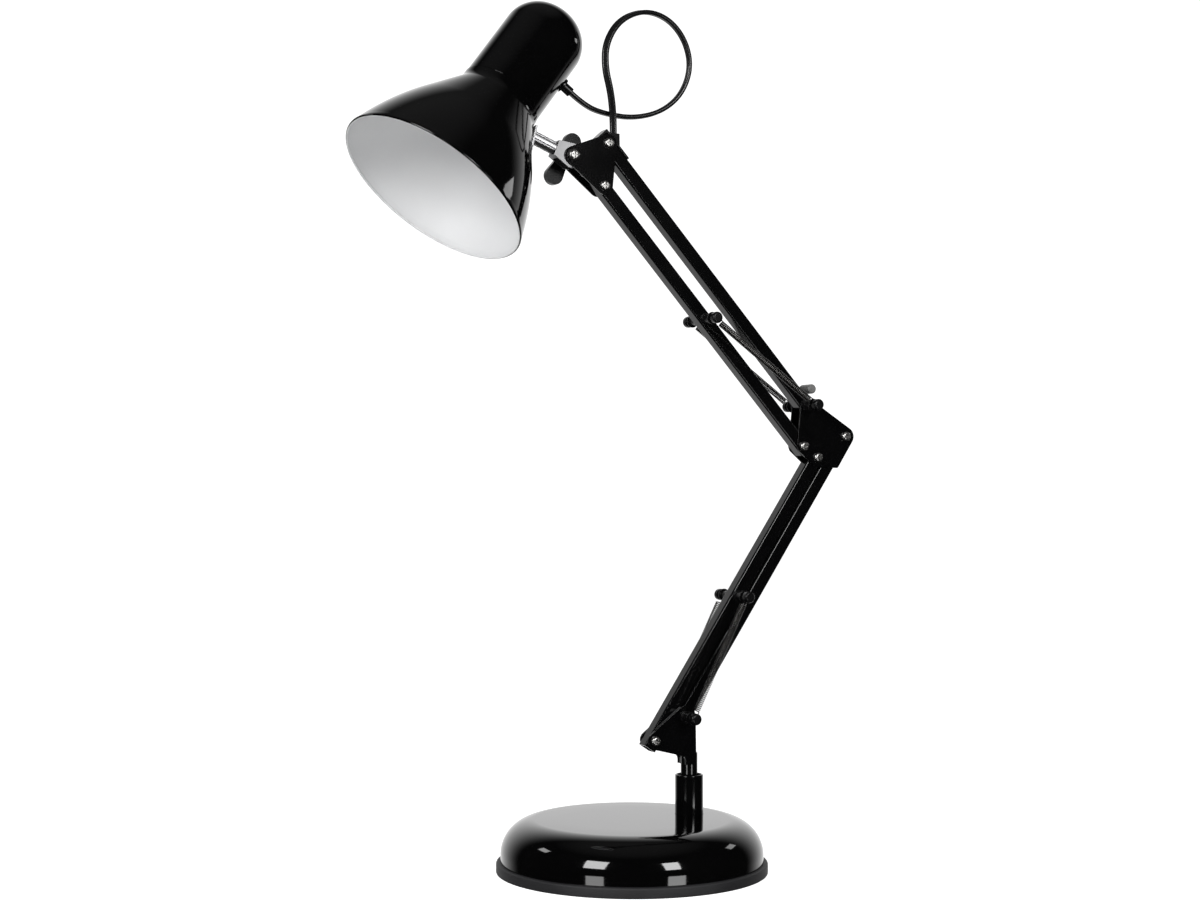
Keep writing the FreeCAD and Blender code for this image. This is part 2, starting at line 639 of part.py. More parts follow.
def elbow_cheek(label, side, stop=False):
    """A flat cheek carrying all four pivots of the elbow; the far one also has the stop's ear."""
    cheek = new_body(label)
    profile = new_sketch(cheek, "XZ_Plane")
    add_outline(profile, [
        ELBOW_D + ("elbow_small_nose",), ELBOW_A + ("elbow_small_nose",),
        ("0", "0", "elbow_nose"), ("elbow_heel_run", "-(elbow_heel_drop)", "elbow_heel_round"),
        ELBOW_B + ("elbow_nose",)])
    pad(cheek, profile, "cheek_wall")
    if stop:
        ear = new_sketch(cheek, "XZ_Plane")
        add_outline(ear, [ELBOW_STOP + ("stop_radius",), ELBOW_D + ("elbow_small_nose",)])
        pad(cheek, ear, "cheek_wall")
    holes = new_sketch(cheek, "XZ_Plane")
    for x_text, z_text in (("0", "0"), ELBOW_A, ELBOW_B, ELBOW_D):
        add_circle(holes, x_text, z_text, "screw_radius + run_gap")
    if stop:
        add_circle(holes, ELBOW_STOP[0], ELBOW_STOP[1], "stop_pin_radius + run_gap")
    cut(cheek, holes)
    return keep(cheek, at(elbow_main + Y_AXIS * side))


def elbow_pieces():
    """Two cheeks, their three pivot screws, the upper springs' stud and the arm's stop."""
    elbow_cheek("elbow_near_cheek", -num(CHEEK_IN))
    elbow_cheek("elbow_far_cheek", num(CHEEK_OUT), True)
    pivots = [upper_pivot, elbow_link, elbow_main]
    group("elbow_screws", screws, [near(point) for point in pivots])
    group("elbow_nuts", nuts, [far(point) for point in pivots])
    anchor_pieces("elbow_anchor", upper_link_pivot, bracket_spool)
    reach = "(2 * %s + cheek_wall + side_gap)" % CHEEK_IN
    stop = turned_body("elbow_stop", [
        ("0", "-(cheek_wall + stop_rivet_height)"),
        ("stop_rivet_radius", "-(cheek_wall + stop_rivet_height)"),
        ("stop_rivet_radius", "-(cheek_wall)"), ("stop_pin_radius", "-(cheek_wall)"),
        ("stop_pin_radius", "0"), ("stop_radius", "0"),
        ("stop_radius - stop_round", reach + " - stop_round", "stop_round"), ("0", reach)])
    spot = elbow_main + V(num(ELBOW_STOP[0]), num(CHEEK_IN), num(ELBOW_STOP[1]))
    keep(stop, at(spot, TO_NEAR_SIDE))


# ---------------------------------------------------------------- head bracket and knuckle

def head_cheek(label, side):
    cheek = new_body(label)
    profile = new_sketch(cheek, "XZ_Plane")
    add_outline(profile, [
        ("upper_link_run", "upper_link_rise", "head_nose"),
        ("-(tilt_back)", "tilt_rise", "head_nose"), ("0", "0", "head_nose")])
    pad(cheek, profile, "cheek_wall")
    holes = new_sketch(cheek, "XZ_Plane")
    for x_text, z_text in (("0", "0"), ("upper_link_run", "upper_link_rise"),
                           ("-(tilt_back)", "tilt_rise")):
        add_circle(holes, x_text, z_text, "screw_radius + run_gap")
    cut(cheek, holes)
    return keep(cheek, at(head_main + Y_AXIS * side))


def wing_nut():
    """The clamping nut: a hub with two rimmed lobes, turned by hand."""
    nut = new_body("wing_nut")
    hub = new_sketch(nut, "XZ_Plane")
    add_circle(hub, "0", "0", "wing_hub_radius")
    pad(nut, hub, "wing_hub_length")
    for sign in ("-", ""):
        wing = new_sketch(nut, "XZ_Plane")
        add_outline(wing, [(sign + "(wing_reach)", "0", "wing_lobe"), ("0", "0", "wing_root")])
        pad(nut, wing, "wing_wall")
    bore = new_sketch(nut, "XZ_Plane")
    add_circle(bore, "0", "0", "screw_radius + run_gap")
    cut(nut, bore)
    for sign in ("-", ""):
        dish = new_sketch(nut, "XZ_Plane")
        add_circle(dish, sign + "(wing_reach)", "0", "wing_lobe - wing_rim")
        cut(nut, dish, "wing_recess", True)
    return nut


def head_bracket_pieces():
    """Two cheeks, their two screws, the tilt screw and the wing nut that clamps it."""
    head_cheek("head_near_cheek", -num(CHEEK_IN))
    head_cheek("head_far_cheek", num(CHEEK_OUT))
    pivots = [head_link, head_main]
    group("head_bracket_screws", screws, [near(point) for point in pivots])
    group("head_bracket_nuts", nuts, [far(point) for point in pivots])
    tilt = screw_master("tilt_screw", "tilt_head_radius", "tilt_head_height",
                        "tilt_head_round", "(%s + tilt_reach)" % CHEEK_OUT)
    group("head_tilt_screw", tilt, [near(tilt_pivot)])
    washer = new_body("clamp_washer")
    ring = new_sketch(washer, "XY_Plane")
    add_circle(ring, "0", "0", "clamp_washer_radius")
    add_circle(ring, "0", "0", "screw_radius + run_gap")
    pad(washer, ring, "clamp_washer_wall")
    keep(washer, far(tilt_pivot))
    outer = num(CHEEK_OUT + " + clamp_washer_wall + thrust_gap + wing_hub_length")
    keep(wing_nut(), at(tilt_pivot + Y_AXIS * outer, turned(num("wing_turn") - 90)))


def knuckle_clamp():
    """A bent yoke between the cheeks: two discs, the web that holds the stem, and a tail."""
    clamp = new_body("knuckle_clamp")
    half = "(tube_width / 2)"
    profile = new_sketch(clamp, "XZ_Plane")
    add_outline(profile, [("knuckle_reach", "-(knuckle_half)"), ("knuckle_reach", "knuckle_half"),
                          ("0", "0", "knuckle_radius")])
    pad(clamp, profile, "2 * " + half, True)
    gap = new_sketch(clamp, "XZ_Plane")
    add_outline(gap, box_corners("-(2 * knuckle_radius)", "knuckle_reach - web_wall",
                                 "-(2 * knuckle_radius)", "2 * knuckle_radius"))
    middle = clamp.newObject("PartDesign::Pocket", "knuckle_gap")
    middle.Profile = gap
    middle.Midplane = True
    middle.setExpression("Length", bound("2 * (%s - knuckle_wall)" % half))
    doc.recompute()
    tail = new_sketch(clamp, "XZ_Plane", "%s - knuckle_wall" % half)
    add_outline(tail, [
        ("-(tongue_reach - tongue_half) * cos(tongue_angle)",
         "(tongue_reach - tongue_half) * sin(tongue_angle)", "tongue_half"),
        ("-(knuckle_radius / 2) * cos(tongue_angle)",
         "(knuckle_radius / 2) * sin(tongue_angle)", "tongue_half")])
    pad(clamp, tail, "knuckle_wall")
    pivot = new_sketch(clamp, "XZ_Plane")
    add_circle(pivot, "0", "0", "screw_radius + run_gap")
    cut(clamp, pivot)
    socket = new_sketch(clamp, "YZ_Plane", "knuckle_reach - 2 * web_wall")
    add_circle(socket, "0", "0", "spigot_radius + run_gap")
    cut(clamp, socket, "3 * web_wall", True)
    return keep(clamp, knuckle_frame)


# The strip on the shade's neck, seen along the stem: the turn from the stem's frame to the
# head's, and the place of the head's seam in the stem's frame.
FOLD = "(stem_angle - head_lean)"
SEAM_X = "(head_run * cos(stem_angle) + head_rise * sin(stem_angle))"
SEAM_Z = "(head_run * sin(stem_angle) - head_rise * cos(stem_angle))"
STRIP_X = "(neck_radius + strip_gap)"
STRIP_Z = "(-(strip_start))"


def strip_line(along, out):
    """A point in the head's frame: along the strip from its top, and out from its inner face."""
    return ("%s + (%s) * sin(strip_slope) + (%s) * cos(strip_slope)" % (STRIP_X, along, out),
            "%s - (%s) * cos(strip_slope) + (%s) * sin(strip_slope)" % (STRIP_Z, along, out))


def in_stem_frame(x_text, z_text):
    """The same point in the stem's frame, whose X runs along the stem from the tilt pivot."""
    return ("%s - (%s) * cos(%s) + (%s) * sin(%s)" % (SEAM_X, x_text, FOLD, z_text, FOLD),
            "%s - (%s) * sin(%s) - (%s) * cos(%s)" % (SEAM_Z, x_text, FOLD, z_text, FOLD))


def stem_pieces():
    """The ribbed stem with its spigot, the rivet head inside the yoke and the neck's strip."""
    stem = new_body("stem")
    bar = new_sketch(stem, "YZ_Plane", "knuckle_reach + thrust_gap")
    add_circle(bar, "0", "0", "stem_radius")
    pad(stem, bar, "2 * stem_length")
    spigot = new_sketch(stem, "YZ_Plane", "knuckle_reach - web_wall - thrust_gap - rivet_wall")
    add_circle(spigot, "0", "0", "spigot_radius")
    pad(stem, spigot, "web_wall + 2 * thrust_gap + rivet_wall + 1")
    flutes = new_sketch(stem, "YZ_Plane", "knuckle_reach + 2 * thrust_gap + groove_radius")
    for k in range(int(num("groove_count"))):
        turn = "(360 * %d / groove_count + 30)" % k
        add_circle(flutes, "stem_radius * cos(%s)" % turn, "stem_radius * sin(%s)" % turn,
                   "groove_radius")
    cut(stem, flutes, "3 * stem_length", True)
    slant = new_sketch(stem, "XZ_Plane")
    reach = "strip_length"
    corners = [strip_line("-(%s)" % reach, "strip_wall"), strip_line("2 * " + reach, "strip_wall"),
               strip_line("2 * " + reach, "-(4 * %s)" % reach),
               strip_line("-(%s)" % reach, "-(4 * %s)" % reach)]
    add_outline(slant, [in_stem_frame(*corner) for corner in corners])
    cut(stem, slant)
    keep(stem, swivelled_knuckle)

    rivet = new_body("stem_nut")
    ring = new_sketch(rivet, "YZ_Plane", "knuckle_reach - web_wall - thrust_gap - rivet_wall")
    add_circle(ring, "0", "0", "rivet_radius")
    add_circle(ring, "0", "0", "spigot_radius + run_gap")
    pad(rivet, ring, "rivet_wall")
    keep(rivet, swivelled_knuckle)

    strip = new_body("neck_plate")
    face = new_sketch(strip, "XZ_Plane")
    add_outline(face, [strip_line("strip_length", "0"), strip_line("strip_length", "strip_wall"),
                       strip_line("0", "strip_wall"), strip_line("0", "0")])
    pad(strip, face, "strip_width", True)
    keep(strip, head_frame)


# ---------------------------------------------------------------- head

FILLET_X, FILLET_Z = "(neck_radius + neck_fillet)", "(-(neck_height))"
BELL_RUN = "(shade_length - neck_height - shade_lip * cos(bell_ease))"
BELL_RISE = "(mouth_radius - shade_lip * sin(bell_ease) - neck_radius - neck_fillet)"
BELL_TOUCH = ("((%s * %s + %s * %s - neck_fillet * neck_fillet) / (2 * neck_fillet + 2 * %s * "
              "cos(bell_ease) - 2 * %s * sin(bell_ease)))"
              % (BELL_RUN, BELL_RUN, BELL_RISE, BELL_RISE, BELL_RISE, BELL_RUN))
BELL = "(bell_share * %s)" % BELL_TOUCH
BELL_X = "(mouth_radius - shade_lip * sin(bell_ease) - %s * cos(bell_ease))" % BELL
BELL_Z = "(-(shade_length - shade_lip * cos(bell_ease)) - %s * sin(bell_ease))" % BELL


def shade():
    """The bell-shaped shade: a flat flange, a short neck, a flare and a full bell to its rim."""
    bell = turned_body("shade", [
        ("mouth_radius - shade_wall * cos(bell_ease)",
         "-(shade_length + shade_wall * sin(bell_ease))"),
        ("mouth_radius", "-(shade_length)"),
        (BELL_X, BELL_Z, BELL), (FILLET_X, FILLET_Z, "neck_fillet", "in"), ("neck_radius", "0"),
        ("flange_bore", "0"), ("flange_bore", "-(shade_wall)"),
        ("neck_radius - shade_wall", "-(shade_wall)"),
        (FILLET_X, FILLET_Z, "neck_fillet + shade_wall"),
        (BELL_X, BELL_Z, BELL + " - shade_wall", "in")])
    return keep(bell, head_frame)


def housing():
    """The domed sleeve over the lamp holder, open below, with the cord gland's hole."""
    bend_x, bend_z = "(housing_radius - dome_height)", "housing_straight"
    sleeve = turned_body("housing", [
        ("housing_radius", "0"), (bend_x, bend_z, "dome_height"),
        ("0", "housing_straight + dome_height"),
        ("0", "housing_straight + dome_height - housing_wall"),
        (bend_x, bend_z, "dome_height - housing_wall", "in"),
        ("housing_radius - housing_wall", "0")])
    hole = new_sketch(sleeve, "YZ_Plane", "housing_radius / 2")
    add_circle(hole, "0", "gland_height", "gland_radius + run_gap")
    cut(sleeve, hole, "housing_radius", True)
    return keep(sleeve, head_frame)


def holder_pieces():
    """The lamp holder: an insulating shell, the screw thread, the contact and the shade ring."""
    thread_out = "(thread_radius + thread_wall)"
    thread_top = "(holder_depth - holder_wall - contact_gap - side_gap)"
    keep(turned_body("holder_shell", [
        (thread_out, "-(holder_nose)"), ("holder_radius", "-(holder_nose)"),
        ("holder_radius", "0"), ("holder_collar", "0"), ("holder_collar", "collar_wall"),
        ("holder_radius", "collar_wall"), ("holder_radius", "holder_depth"),
        ("0", "holder_depth"), ("0", "holder_depth - holder_wall"),
        (thread_out, "holder_depth - holder_wall")]), head_frame)
    keep(turned_body("holder_thread", box_corners(
        "thread_radius", thread_out, "%s - thread_length" % thread_top, thread_top)), head_frame)
    contact = new_body("holder_contact")
    disc = new_sketch(contact, "XY_Plane", "holder_depth - holder_wall - contact_gap")
    add_circle(disc, "0", "0", "contact_radius")
    pad(contact, disc, "contact_gap")
    keep(contact, head_frame)
    keep(turned_body("shade_ring", box_corners(
        "holder_radius + run_gap", "ring_radius", "-(shade_wall + ring_height)",
        "-(shade_wall)")), head_frame)


def cord_gland():
    """The cord's outlet in the housing: a body through the wall, a flange and a nose."""
    gland = new_body("cord_gland")
    outlet = new_sketch(gland, "XZ_Plane")
    seat = "housing_radius"
    add_outline(outlet, [
        (seat + " - gland_inner", "0"), (seat + " + gland_reach", "0"),
        (seat + " + gland_reach", "gland_nose_radius"),
        (seat + " + gland_flange_wall", "gland_nose_radius"),
        (seat + " + gland_flange_wall", "gland_flange_radius"), (seat, "gland_flange_radius"),
        (seat, "gland_radius"), (seat + " - gland_inner", "gland_radius")])
    spin(gland, outlet, "H_Axis")
    lift = FreeCAD.Placement(V(0, 0, num("gland_height")), FreeCAD.Rotation())
    return keep(gland, head_frame * lift)


# ---------------------------------------------------------------- springs

def biarc(start, start_way, end, end_way):
    """Two arcs that join tangentially between two points with given directions."""
    chord = end - start
    ways = start_way + end_way
    a = 2 * (start_way.dot(end_way) - 1)
    b = -2 * chord.dot(ways)
    c = chord.dot(chord)
    if abs(a) < 1e-9:
        step = -c / b
    else:
        step = (-b - math.sqrt(b * b - 4 * a * c)) / (2 * a)
    middle = (start + start_way * step + end - end_way * step) * 0.5
    return [arc_from(start, start_way, middle), arc_from(end, -end_way, middle)]


def arc_from(start, way, end):
    """The arc that leaves a point in a direction and reaches another; with its mid point."""
    chord = end - start
    length = chord.Length
    along = chord * (1 / length)
    side = way - along * way.dot(along)
    if side.Length < 1e-9:
        return start, start + chord * 0.5, end
    turn = math.acos(max(-1, min(1, way.dot(along))))
    side.normalize()
    return start, start + chord * 0.5 + side * (length / 2 * math.tan(turn / 2)), end


def spring_points(length):
    """The wire's stations: a lead on the axis, the coil, and the same lead at the other end."""
    radius, turns = num("coil_radius"), int(num("coil_turns"))
    first = num("spring_lead + spring_shoulder")
    pitch = (length - 2 * first) / turns
    climb = math.atan2(pitch, 2 * math.pi * radius)
    stations = [(V(0, 0, num("spring_lead")), V(0, 0, 1))]
    for k in range(2 * turns + 1):
        turn = math.pi * k
        spot = V(radius * math.cos(turn), radius * math.sin(turn), first + pitch * k / 2)
        way = V(-math.sin(turn) * math.cos(climb), math.cos(turn) * math.cos(climb),
                math.sin(climb))
        stations.append((spot, way))
    stations.append((V(0, 0, length - num("spring_lead")), V(0, 0, 1)))
    return stations


def measured_gap(points, wire, reach):
    """The least clear distance between parts of the wire that lie further apart along it."""
    least = 1e9
    for i in range(len(points)):
        for j in range(i + reach, len(points)):
            span = (points[j] - points[i]).Length
            least = min(least, span)
    return least - 2 * wire


def tube_along(wire_path, radius, start, way):
    """One unbroken round tube along a path."""
    ring = Part.Wire([Part.makeCircle(radius, start, way)])
    shell = Part.BRepOffsetAPI.MakePipeShell(wire_path)
    shell.add(ring)
    shell.build()
    shell.makeSolid()
    return shell.shape()


def spring(label, start, end, side):
    """A coil spring hooked between two studs, on one side of the arm."""
    offset = Y_AXIS * (side * num("spring_offset"))
    axis = end - start
    length = axis.Length
    lead = V(0, 0, num("stud_radius + hook_gap"))
    stations = spring_points(length)
    edges = [Part.LineSegment(lead, stations[0][0]).toShape()]
    trace = []
    for (p0, t0), (p1, t1) in zip(stations, stations[1:]):
        for p, q, r in biarc(p0, t0, p1, t1):
            arc = Part.Arc(p, q, r)
            edges.append(arc.toShape())
            trace += [arc.value(arc.FirstParameter + (arc.LastParameter - arc.FirstParameter)
                                * k / 6) for k in range(6)]
    last = V(0, 0, length) - lead
    edges.append(Part.LineSegment(stations[-1][0], last).toShape())
    path = Part.Wire(Part.__sortEdges__(edges))
    wire = num("wire_radius")
    shape = tube_along(path, wire, lead, V(0, 0, 1))
    gap = measured_gap(trace[::2], wire, 6)
    print(label, "least gap", round(gap, 2), "volume share",
          round(shape.Volume / (math.pi * wire * wire * path.Length), 3))
    node = doc.addObject("Part::Feature", label)
    node.Label = label
    node.Shape = shape
    keep(node, at(start + offset, FreeCAD.Rotation(V(0, 0, 1), axis)))


def spring_pieces():
    for side, name in ((-1, "near"), (1, "far")):
        spring("lower_spring_" + name, lower_link_pivot, lower_mid, side)
        spring("upper_spring_" + name, upper_link_pivot, upper_mid, side)


# ---------------------------------------------------------------- cord

def cord_route():
    """The cord loop's corner points, from the gland round to the end cap's entry."""
    gland_end = head_frame.multVec(V(num("housing_radius + gland_reach"), 0,
                                     num("gland_height")))
    gland_way = head_frame.Rotation.multVec(V(1, 0, 0))
    entry = upper_link_pivot + turned(-num("upper_lean")).multVec(
        V(num("entry_across"), 0, num("upper_length + entry_along")))
    middle = [V(-18.0, 5.8, 531.4), V(3.5, 5.6, 530.0), V(25.5, 4.6, 536.0), V(41.5, 3.0, 549.5),
              V(48.0, 0.5, 569.5), V(42.0, -1.5, 588.5), V(27.5, -3.0, 602.0),
              V(8.0, -4.0, 605.5), V(-12.0, -5.0, 596.5), V(-23.0, -5.5, 579.0),
              V(-23.5, -5.5, 561.0), V(-18.5, -4.5, 545.0)]
    return ([gland_end, gland_end + gland_way * 14] + middle
            + [entry + V(0, 0, 12), entry])


def cord_piece():
    """One round tube: straight runs between the corner points, joined by tangent arcs."""
    points = cord_route()
    radius = num("cord_radius")
    edges = []
    here = points[0]
    for i in range(1, len(points) - 1):
        before, after = points[i - 1] - points[i], points[i + 1] - points[i]
        run = 0.45 * min(before.Length, after.Length)
        before.normalize()
        after.normalize()
        turn = math.pi - before.getAngle(after)
        bend = run / math.tan(turn / 2)
        start, end = points[i] + before * run, points[i] + after * run
        inner = before + after
        inner.normalize()
        centre = points[i] + inner * (run / math.sin(turn / 2))
        middle = centre - inner * bend
        edges.append(Part.LineSegment(here, start).toShape())
        edges.append(Part.Arc(start, middle, end).toShape())
        print("cord bend", i, "turn", round(math.degrees(turn), 1), "radius", round(bend, 1))
        here = end
    edges.append(Part.LineSegment(here, points[-1]).toShape())
    path = Part.Wire(edges)
    shape = tube_along(path, radius, points[0], points[1] - points[0])
    print("cord length", round(path.Length, 1), "volume share",
          round(shape.Volume / (math.pi * radius * radius * path.Length), 3),
          "least gap", round(measured_gap(path.discretize(Distance=1.0), radius, 24), 2))
    for point in points:
        print("cord point", [round(value / 1000, 5) for value in point])
    node = doc.addObject("Part::Feature", "cord_loop")
    node.Label = "cord_loop"
    node.Shape = shape
    keep(node)


# ---------------------------------------------------------------- build and write

def check_document():
    doc.recompute()
    for thing in doc.Objects:
        if {"Invalid", "Error"} & set(thing.State):
            raise RuntimeError("not built: %s %s" % (thing.Label, thing.State))
    for node in nodes:
        if node.Shape.isNull() or not node.Shape.isValid():
            raise RuntimeError("no valid shape: " + node.Label)


def write_steps():
    os.makedirs("parts", exist_ok=True)
    total = Part.makeCompound([node.Shape for node in nodes]).BoundBox
    print("nodes", len(nodes), "box", total)
    for node in nodes:
        node.Shape.exportStep("parts/%s.step" % node.Label)
        print(node.Label, "solids", len(node.Shape.Solids), "volume", round(node.Shape.Volume, 1))


base_pieces()
post_pieces()
swivel_bracket_pieces()
arm_pieces()
elbow_pieces()
head_bracket_pieces()
knuckle_clamp()
stem_pieces()
shade()
housing()
holder_pieces()
cord_gland()
spring_pieces()
cord_piece()
check_document()
write_steps()
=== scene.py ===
import logging
import math
from dataclasses import dataclass, field
from enum import Enum

import bpy
from mathutils import Matrix, Vector


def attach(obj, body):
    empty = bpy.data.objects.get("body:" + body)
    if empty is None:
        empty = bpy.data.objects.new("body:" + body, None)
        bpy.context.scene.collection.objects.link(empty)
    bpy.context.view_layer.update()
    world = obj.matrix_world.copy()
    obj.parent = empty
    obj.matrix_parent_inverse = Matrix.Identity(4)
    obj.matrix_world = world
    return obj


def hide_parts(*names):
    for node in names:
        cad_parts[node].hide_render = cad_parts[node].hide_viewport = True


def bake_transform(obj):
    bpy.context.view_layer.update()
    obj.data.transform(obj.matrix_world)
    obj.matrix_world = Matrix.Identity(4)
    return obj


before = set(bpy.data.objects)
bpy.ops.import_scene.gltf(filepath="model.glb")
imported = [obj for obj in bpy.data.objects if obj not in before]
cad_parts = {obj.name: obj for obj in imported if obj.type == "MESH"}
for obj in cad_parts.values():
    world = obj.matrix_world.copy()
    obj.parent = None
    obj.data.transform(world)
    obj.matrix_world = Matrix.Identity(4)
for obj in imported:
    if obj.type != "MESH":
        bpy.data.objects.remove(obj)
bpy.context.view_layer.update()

logging.basicConfig(level=logging.INFO, format="%(message)s")
log = logging.getLogger("desk_lamp")

MM = 0.001
WHITE = (1, 1, 1, 1)
MIDDLE_GREY = (0.5, 0.5, 0.5, 1.0)

Outline = list[tuple[float, float]]
Span = tuple[float, float]

# The shared grain: where its noise usually runs, then features per metre and octaves.
NOISE_SPAN = (0.3, 0.7)
BROAD_SCALE, BROAD_DETAIL = 38.0, 5.0
FINE_SCALE, FINE_DETAIL = 1500.0, 2.0

# A Mix node's sockets for colours, by number, because its labels repeat.
MIX_FACTOR, MIX_FIRST, MIX_SECOND, MIX_RESULT = 0, 6, 7, 2

# Points nearer than this are one point (metres): in an outline, and in a mesh.
OUTLINE_JOIN, MESH_JOIN = 1e-7, 1e-6
SEED_SIZE = 0.001

# Edges sharper than this stay sharp in the shading (degrees).
TURNED_EDGE, COPIED_EDGE, CORD_EDGE, COIL_EDGE = 30.0, 34.0, 50.0, 60.0

# For copies of CAD nodes: flatter joints are dissolved, sharper edges are rounded (degrees).
FLAT_JOINT, ROUNDED_EDGE = 0.6, 38.0
FACE_AREA_WEIGHT = 100


class Side(Enum):
    """The two sides of the arms: the near one faces the camera."""

    NEAR = -1
    FAR = 1


# ------------------------------------------------------------------ shader groups


def new_group(name: str, inputs: dict[str, float | tuple],
              outputs: dict[str, str]) -> bpy.types.NodeTree:
    """Make an empty shader group with named sockets.

    Args:
        name: the group's name.
        inputs: socket names with their default values; a tuple is a colour.
        outputs: socket names with their socket types.

    Returns:
        The group, with a group input node and a group output node in it.
    """
    group = bpy.data.node_groups.new(name, "ShaderNodeTree")
    for label, value in inputs.items():
        kind = "NodeSocketColor" if isinstance(value, tuple) else "NodeSocketFloat"
        socket = group.interface.new_socket(label, in_out="INPUT", socket_type=kind)
        socket.default_value = value
    for label, kind in outputs.items():
        group.interface.new_socket(label, in_out="OUTPUT", socket_type=kind)
    group.nodes.new("NodeGroupInput").name = "In"
    group.nodes.new("NodeGroupOutput").name = "Out"
    return group


def noise(tree: bpy.types.NodeTree, scale: float, detail: float) -> bpy.types.Node:
    """Add a noise texture on the piece's own coordinates.

    Args:
        tree: the node tree that it goes into.
        scale: features per metre.
        detail: octaves of finer noise.

    Returns:
        The noise node.
    """
    place = tree.nodes.new("ShaderNodeTexCoord")
    texture = tree.nodes.new("ShaderNodeTexNoise")
    texture.inputs["Scale"].default_value = scale
    texture.inputs["Detail"].default_value = detail
    tree.links.new(place.outputs["Object"], texture.inputs["Vector"])
    return texture


def map_range(tree: bpy.types.NodeTree, source: bpy.types.NodeSocket, reach: Span,
              values: Span, blend: str = "LINEAR") -> bpy.types.NodeSocket:
    """Map a value from one range to another, and hold it at the ends.

    Args:
        tree: the node tree.
        source: the value's socket.
        reach: the range of the value.
        values: what the ends of that range become.
        blend: how the values run between the ends.

    Returns:
        The mapped value's socket.
    """
    span = tree.nodes.new("ShaderNodeMapRange")
    span.interpolation_type = blend
    for label, value in zip(("From Min", "From Max", "To Min", "To Max"), reach + values):
        span.inputs[label].default_value = value
    tree.links.new(source, span.inputs["Value"])
    return span.outputs["Result"]


def combine(tree: bpy.types.NodeTree, operation: str, first: bpy.types.NodeSocket,
            second: bpy.types.NodeSocket | float, clamp: bool = False) -> bpy.types.NodeSocket:
    """Join two values in a Math node.

    Args:
        tree: the node tree.
        operation: the Math node's operation.
        first: the first value's socket.
        second: the second value's socket, or a number.
        clamp: whether the result is held between 0 and 1.

    Returns:
        The result's socket.
    """
    node = tree.nodes.new("ShaderNodeMath")
    node.operation = operation
    node.use_clamp = clamp
    tree.links.new(first, node.inputs[0])
    if isinstance(second, bpy.types.NodeSocket):
        tree.links.new(second, node.inputs[1])
    else:
        node.inputs[1].default_value = second
    return node.outputs["Value"]


def surface_grain_group() -> bpy.types.NodeTree:
    """Build the effect that every finish shares: broad mottling and a fine grain.

    Returns:
        The group: it puts out a colour, a roughness and a height.
    """
    inputs = {
        "Colour": MIDDLE_GREY,
        "Worn Colour": MIDDLE_GREY,
        "Roughness": 0.5,
        "Roughness Spread": 0.1,
        "Grain Scale": FINE_SCALE,
    }
    outputs = {
        "Colour": "NodeSocketColor",
        "Roughness": "NodeSocketFloat",
        "Height": "NodeSocketFloat",
    }
    group = new_group("surface_grain", inputs, outputs)
    entry, leave = group.nodes["In"], group.nodes["Out"]
    broad = noise(group, BROAD_SCALE, BROAD_DETAIL).outputs["Fac"]
    fine = noise(group, FINE_SCALE, FINE_DETAIL)
    group.links.new(entry.outputs["Grain Scale"], fine.inputs["Scale"])
    mix = group.nodes.new("ShaderNodeMix")
    mix.data_type = "RGBA"
    worn = map_range(group, broad, NOISE_SPAN, (0.0, 1.0))
    group.links.new(worn, mix.inputs[MIX_FACTOR])
    group.links.new(entry.outputs["Colour"], mix.inputs[MIX_FIRST])
    group.links.new(entry.outputs["Worn Colour"], mix.inputs[MIX_SECOND])
    group.links.new(mix.outputs[MIX_RESULT], leave.inputs["Colour"])
    patch = map_range(group, broad, NOISE_SPAN, (-0.5, 0.5))
    change = combine(group, "MULTIPLY", patch, entry.outputs["Roughness Spread"])
    total = combine(group, "ADD", entry.outputs["Roughness"], change, clamp=True)
    group.links.new(total, leave.inputs["Roughness"])
    group.links.new(fine.outputs["Fac"], leave.inputs["Height"])
    return group


@dataclass(frozen=True)
class Finish:
    """One surface finish of the lamp, made with the shared grain effect.

    Spread is how far the roughness wanders, grain is in features per metre, depth is the
    bump's strength and relief its height in metres.
    """

    name: str
    colour: tuple[float, float, float]
    worn: tuple[float, float, float]
    roughness: float
    spread: float
    grain: float
    depth: float
    relief: float = 0.00002
    metallic: float = 0.0
    sheen: float = 0.0
    specular: float = 0.5

    def material(self) -> bpy.types.Material:
        """Return the finish's material, building it the first time.

        Returns:
            The material.
        """
        known = bpy.data.materials.get("look_" + self.name)
        if known:
            return known
        made = bpy.data.materials.new("look_" + self.name)
        made.use_nodes = True
        tree = made.node_tree
        shader = tree.nodes["Principled BSDF"]
        shader.inputs["Metallic"].default_value = self.metallic
        shader.inputs["Sheen Weight"].default_value = self.sheen
        shader.inputs["Specular IOR Level"].default_value = self.specular
        grain = tree.nodes.new("ShaderNodeGroup")
        grain.node_tree = bpy.data.node_groups.get("surface_grain") or surface_grain_group()
        grain.inputs["Colour"].default_value = (*self.colour, 1.0)
        grain.inputs["Worn Colour"].default_value = (*self.worn, 1.0)
        grain.inputs["Roughness"].default_value = self.roughness
        grain.inputs["Roughness Spread"].default_value = self.spread
        grain.inputs["Grain Scale"].default_value = self.grain
        bump = tree.nodes.new("ShaderNodeBump")
        bump.inputs["Strength"].default_value = self.depth
        bump.inputs["Distance"].default_value = self.relief
        tree.links.new(grain.outputs["Colour"], shader.inputs["Base Color"])
        tree.links.new(grain.outputs["Roughness"], shader.inputs["Roughness"])
        tree.links.new(grain.outputs["Height"], bump.inputs["Height"])
        tree.links.new(bump.outputs["Normal"], shader.inputs["Normal"])
        return made


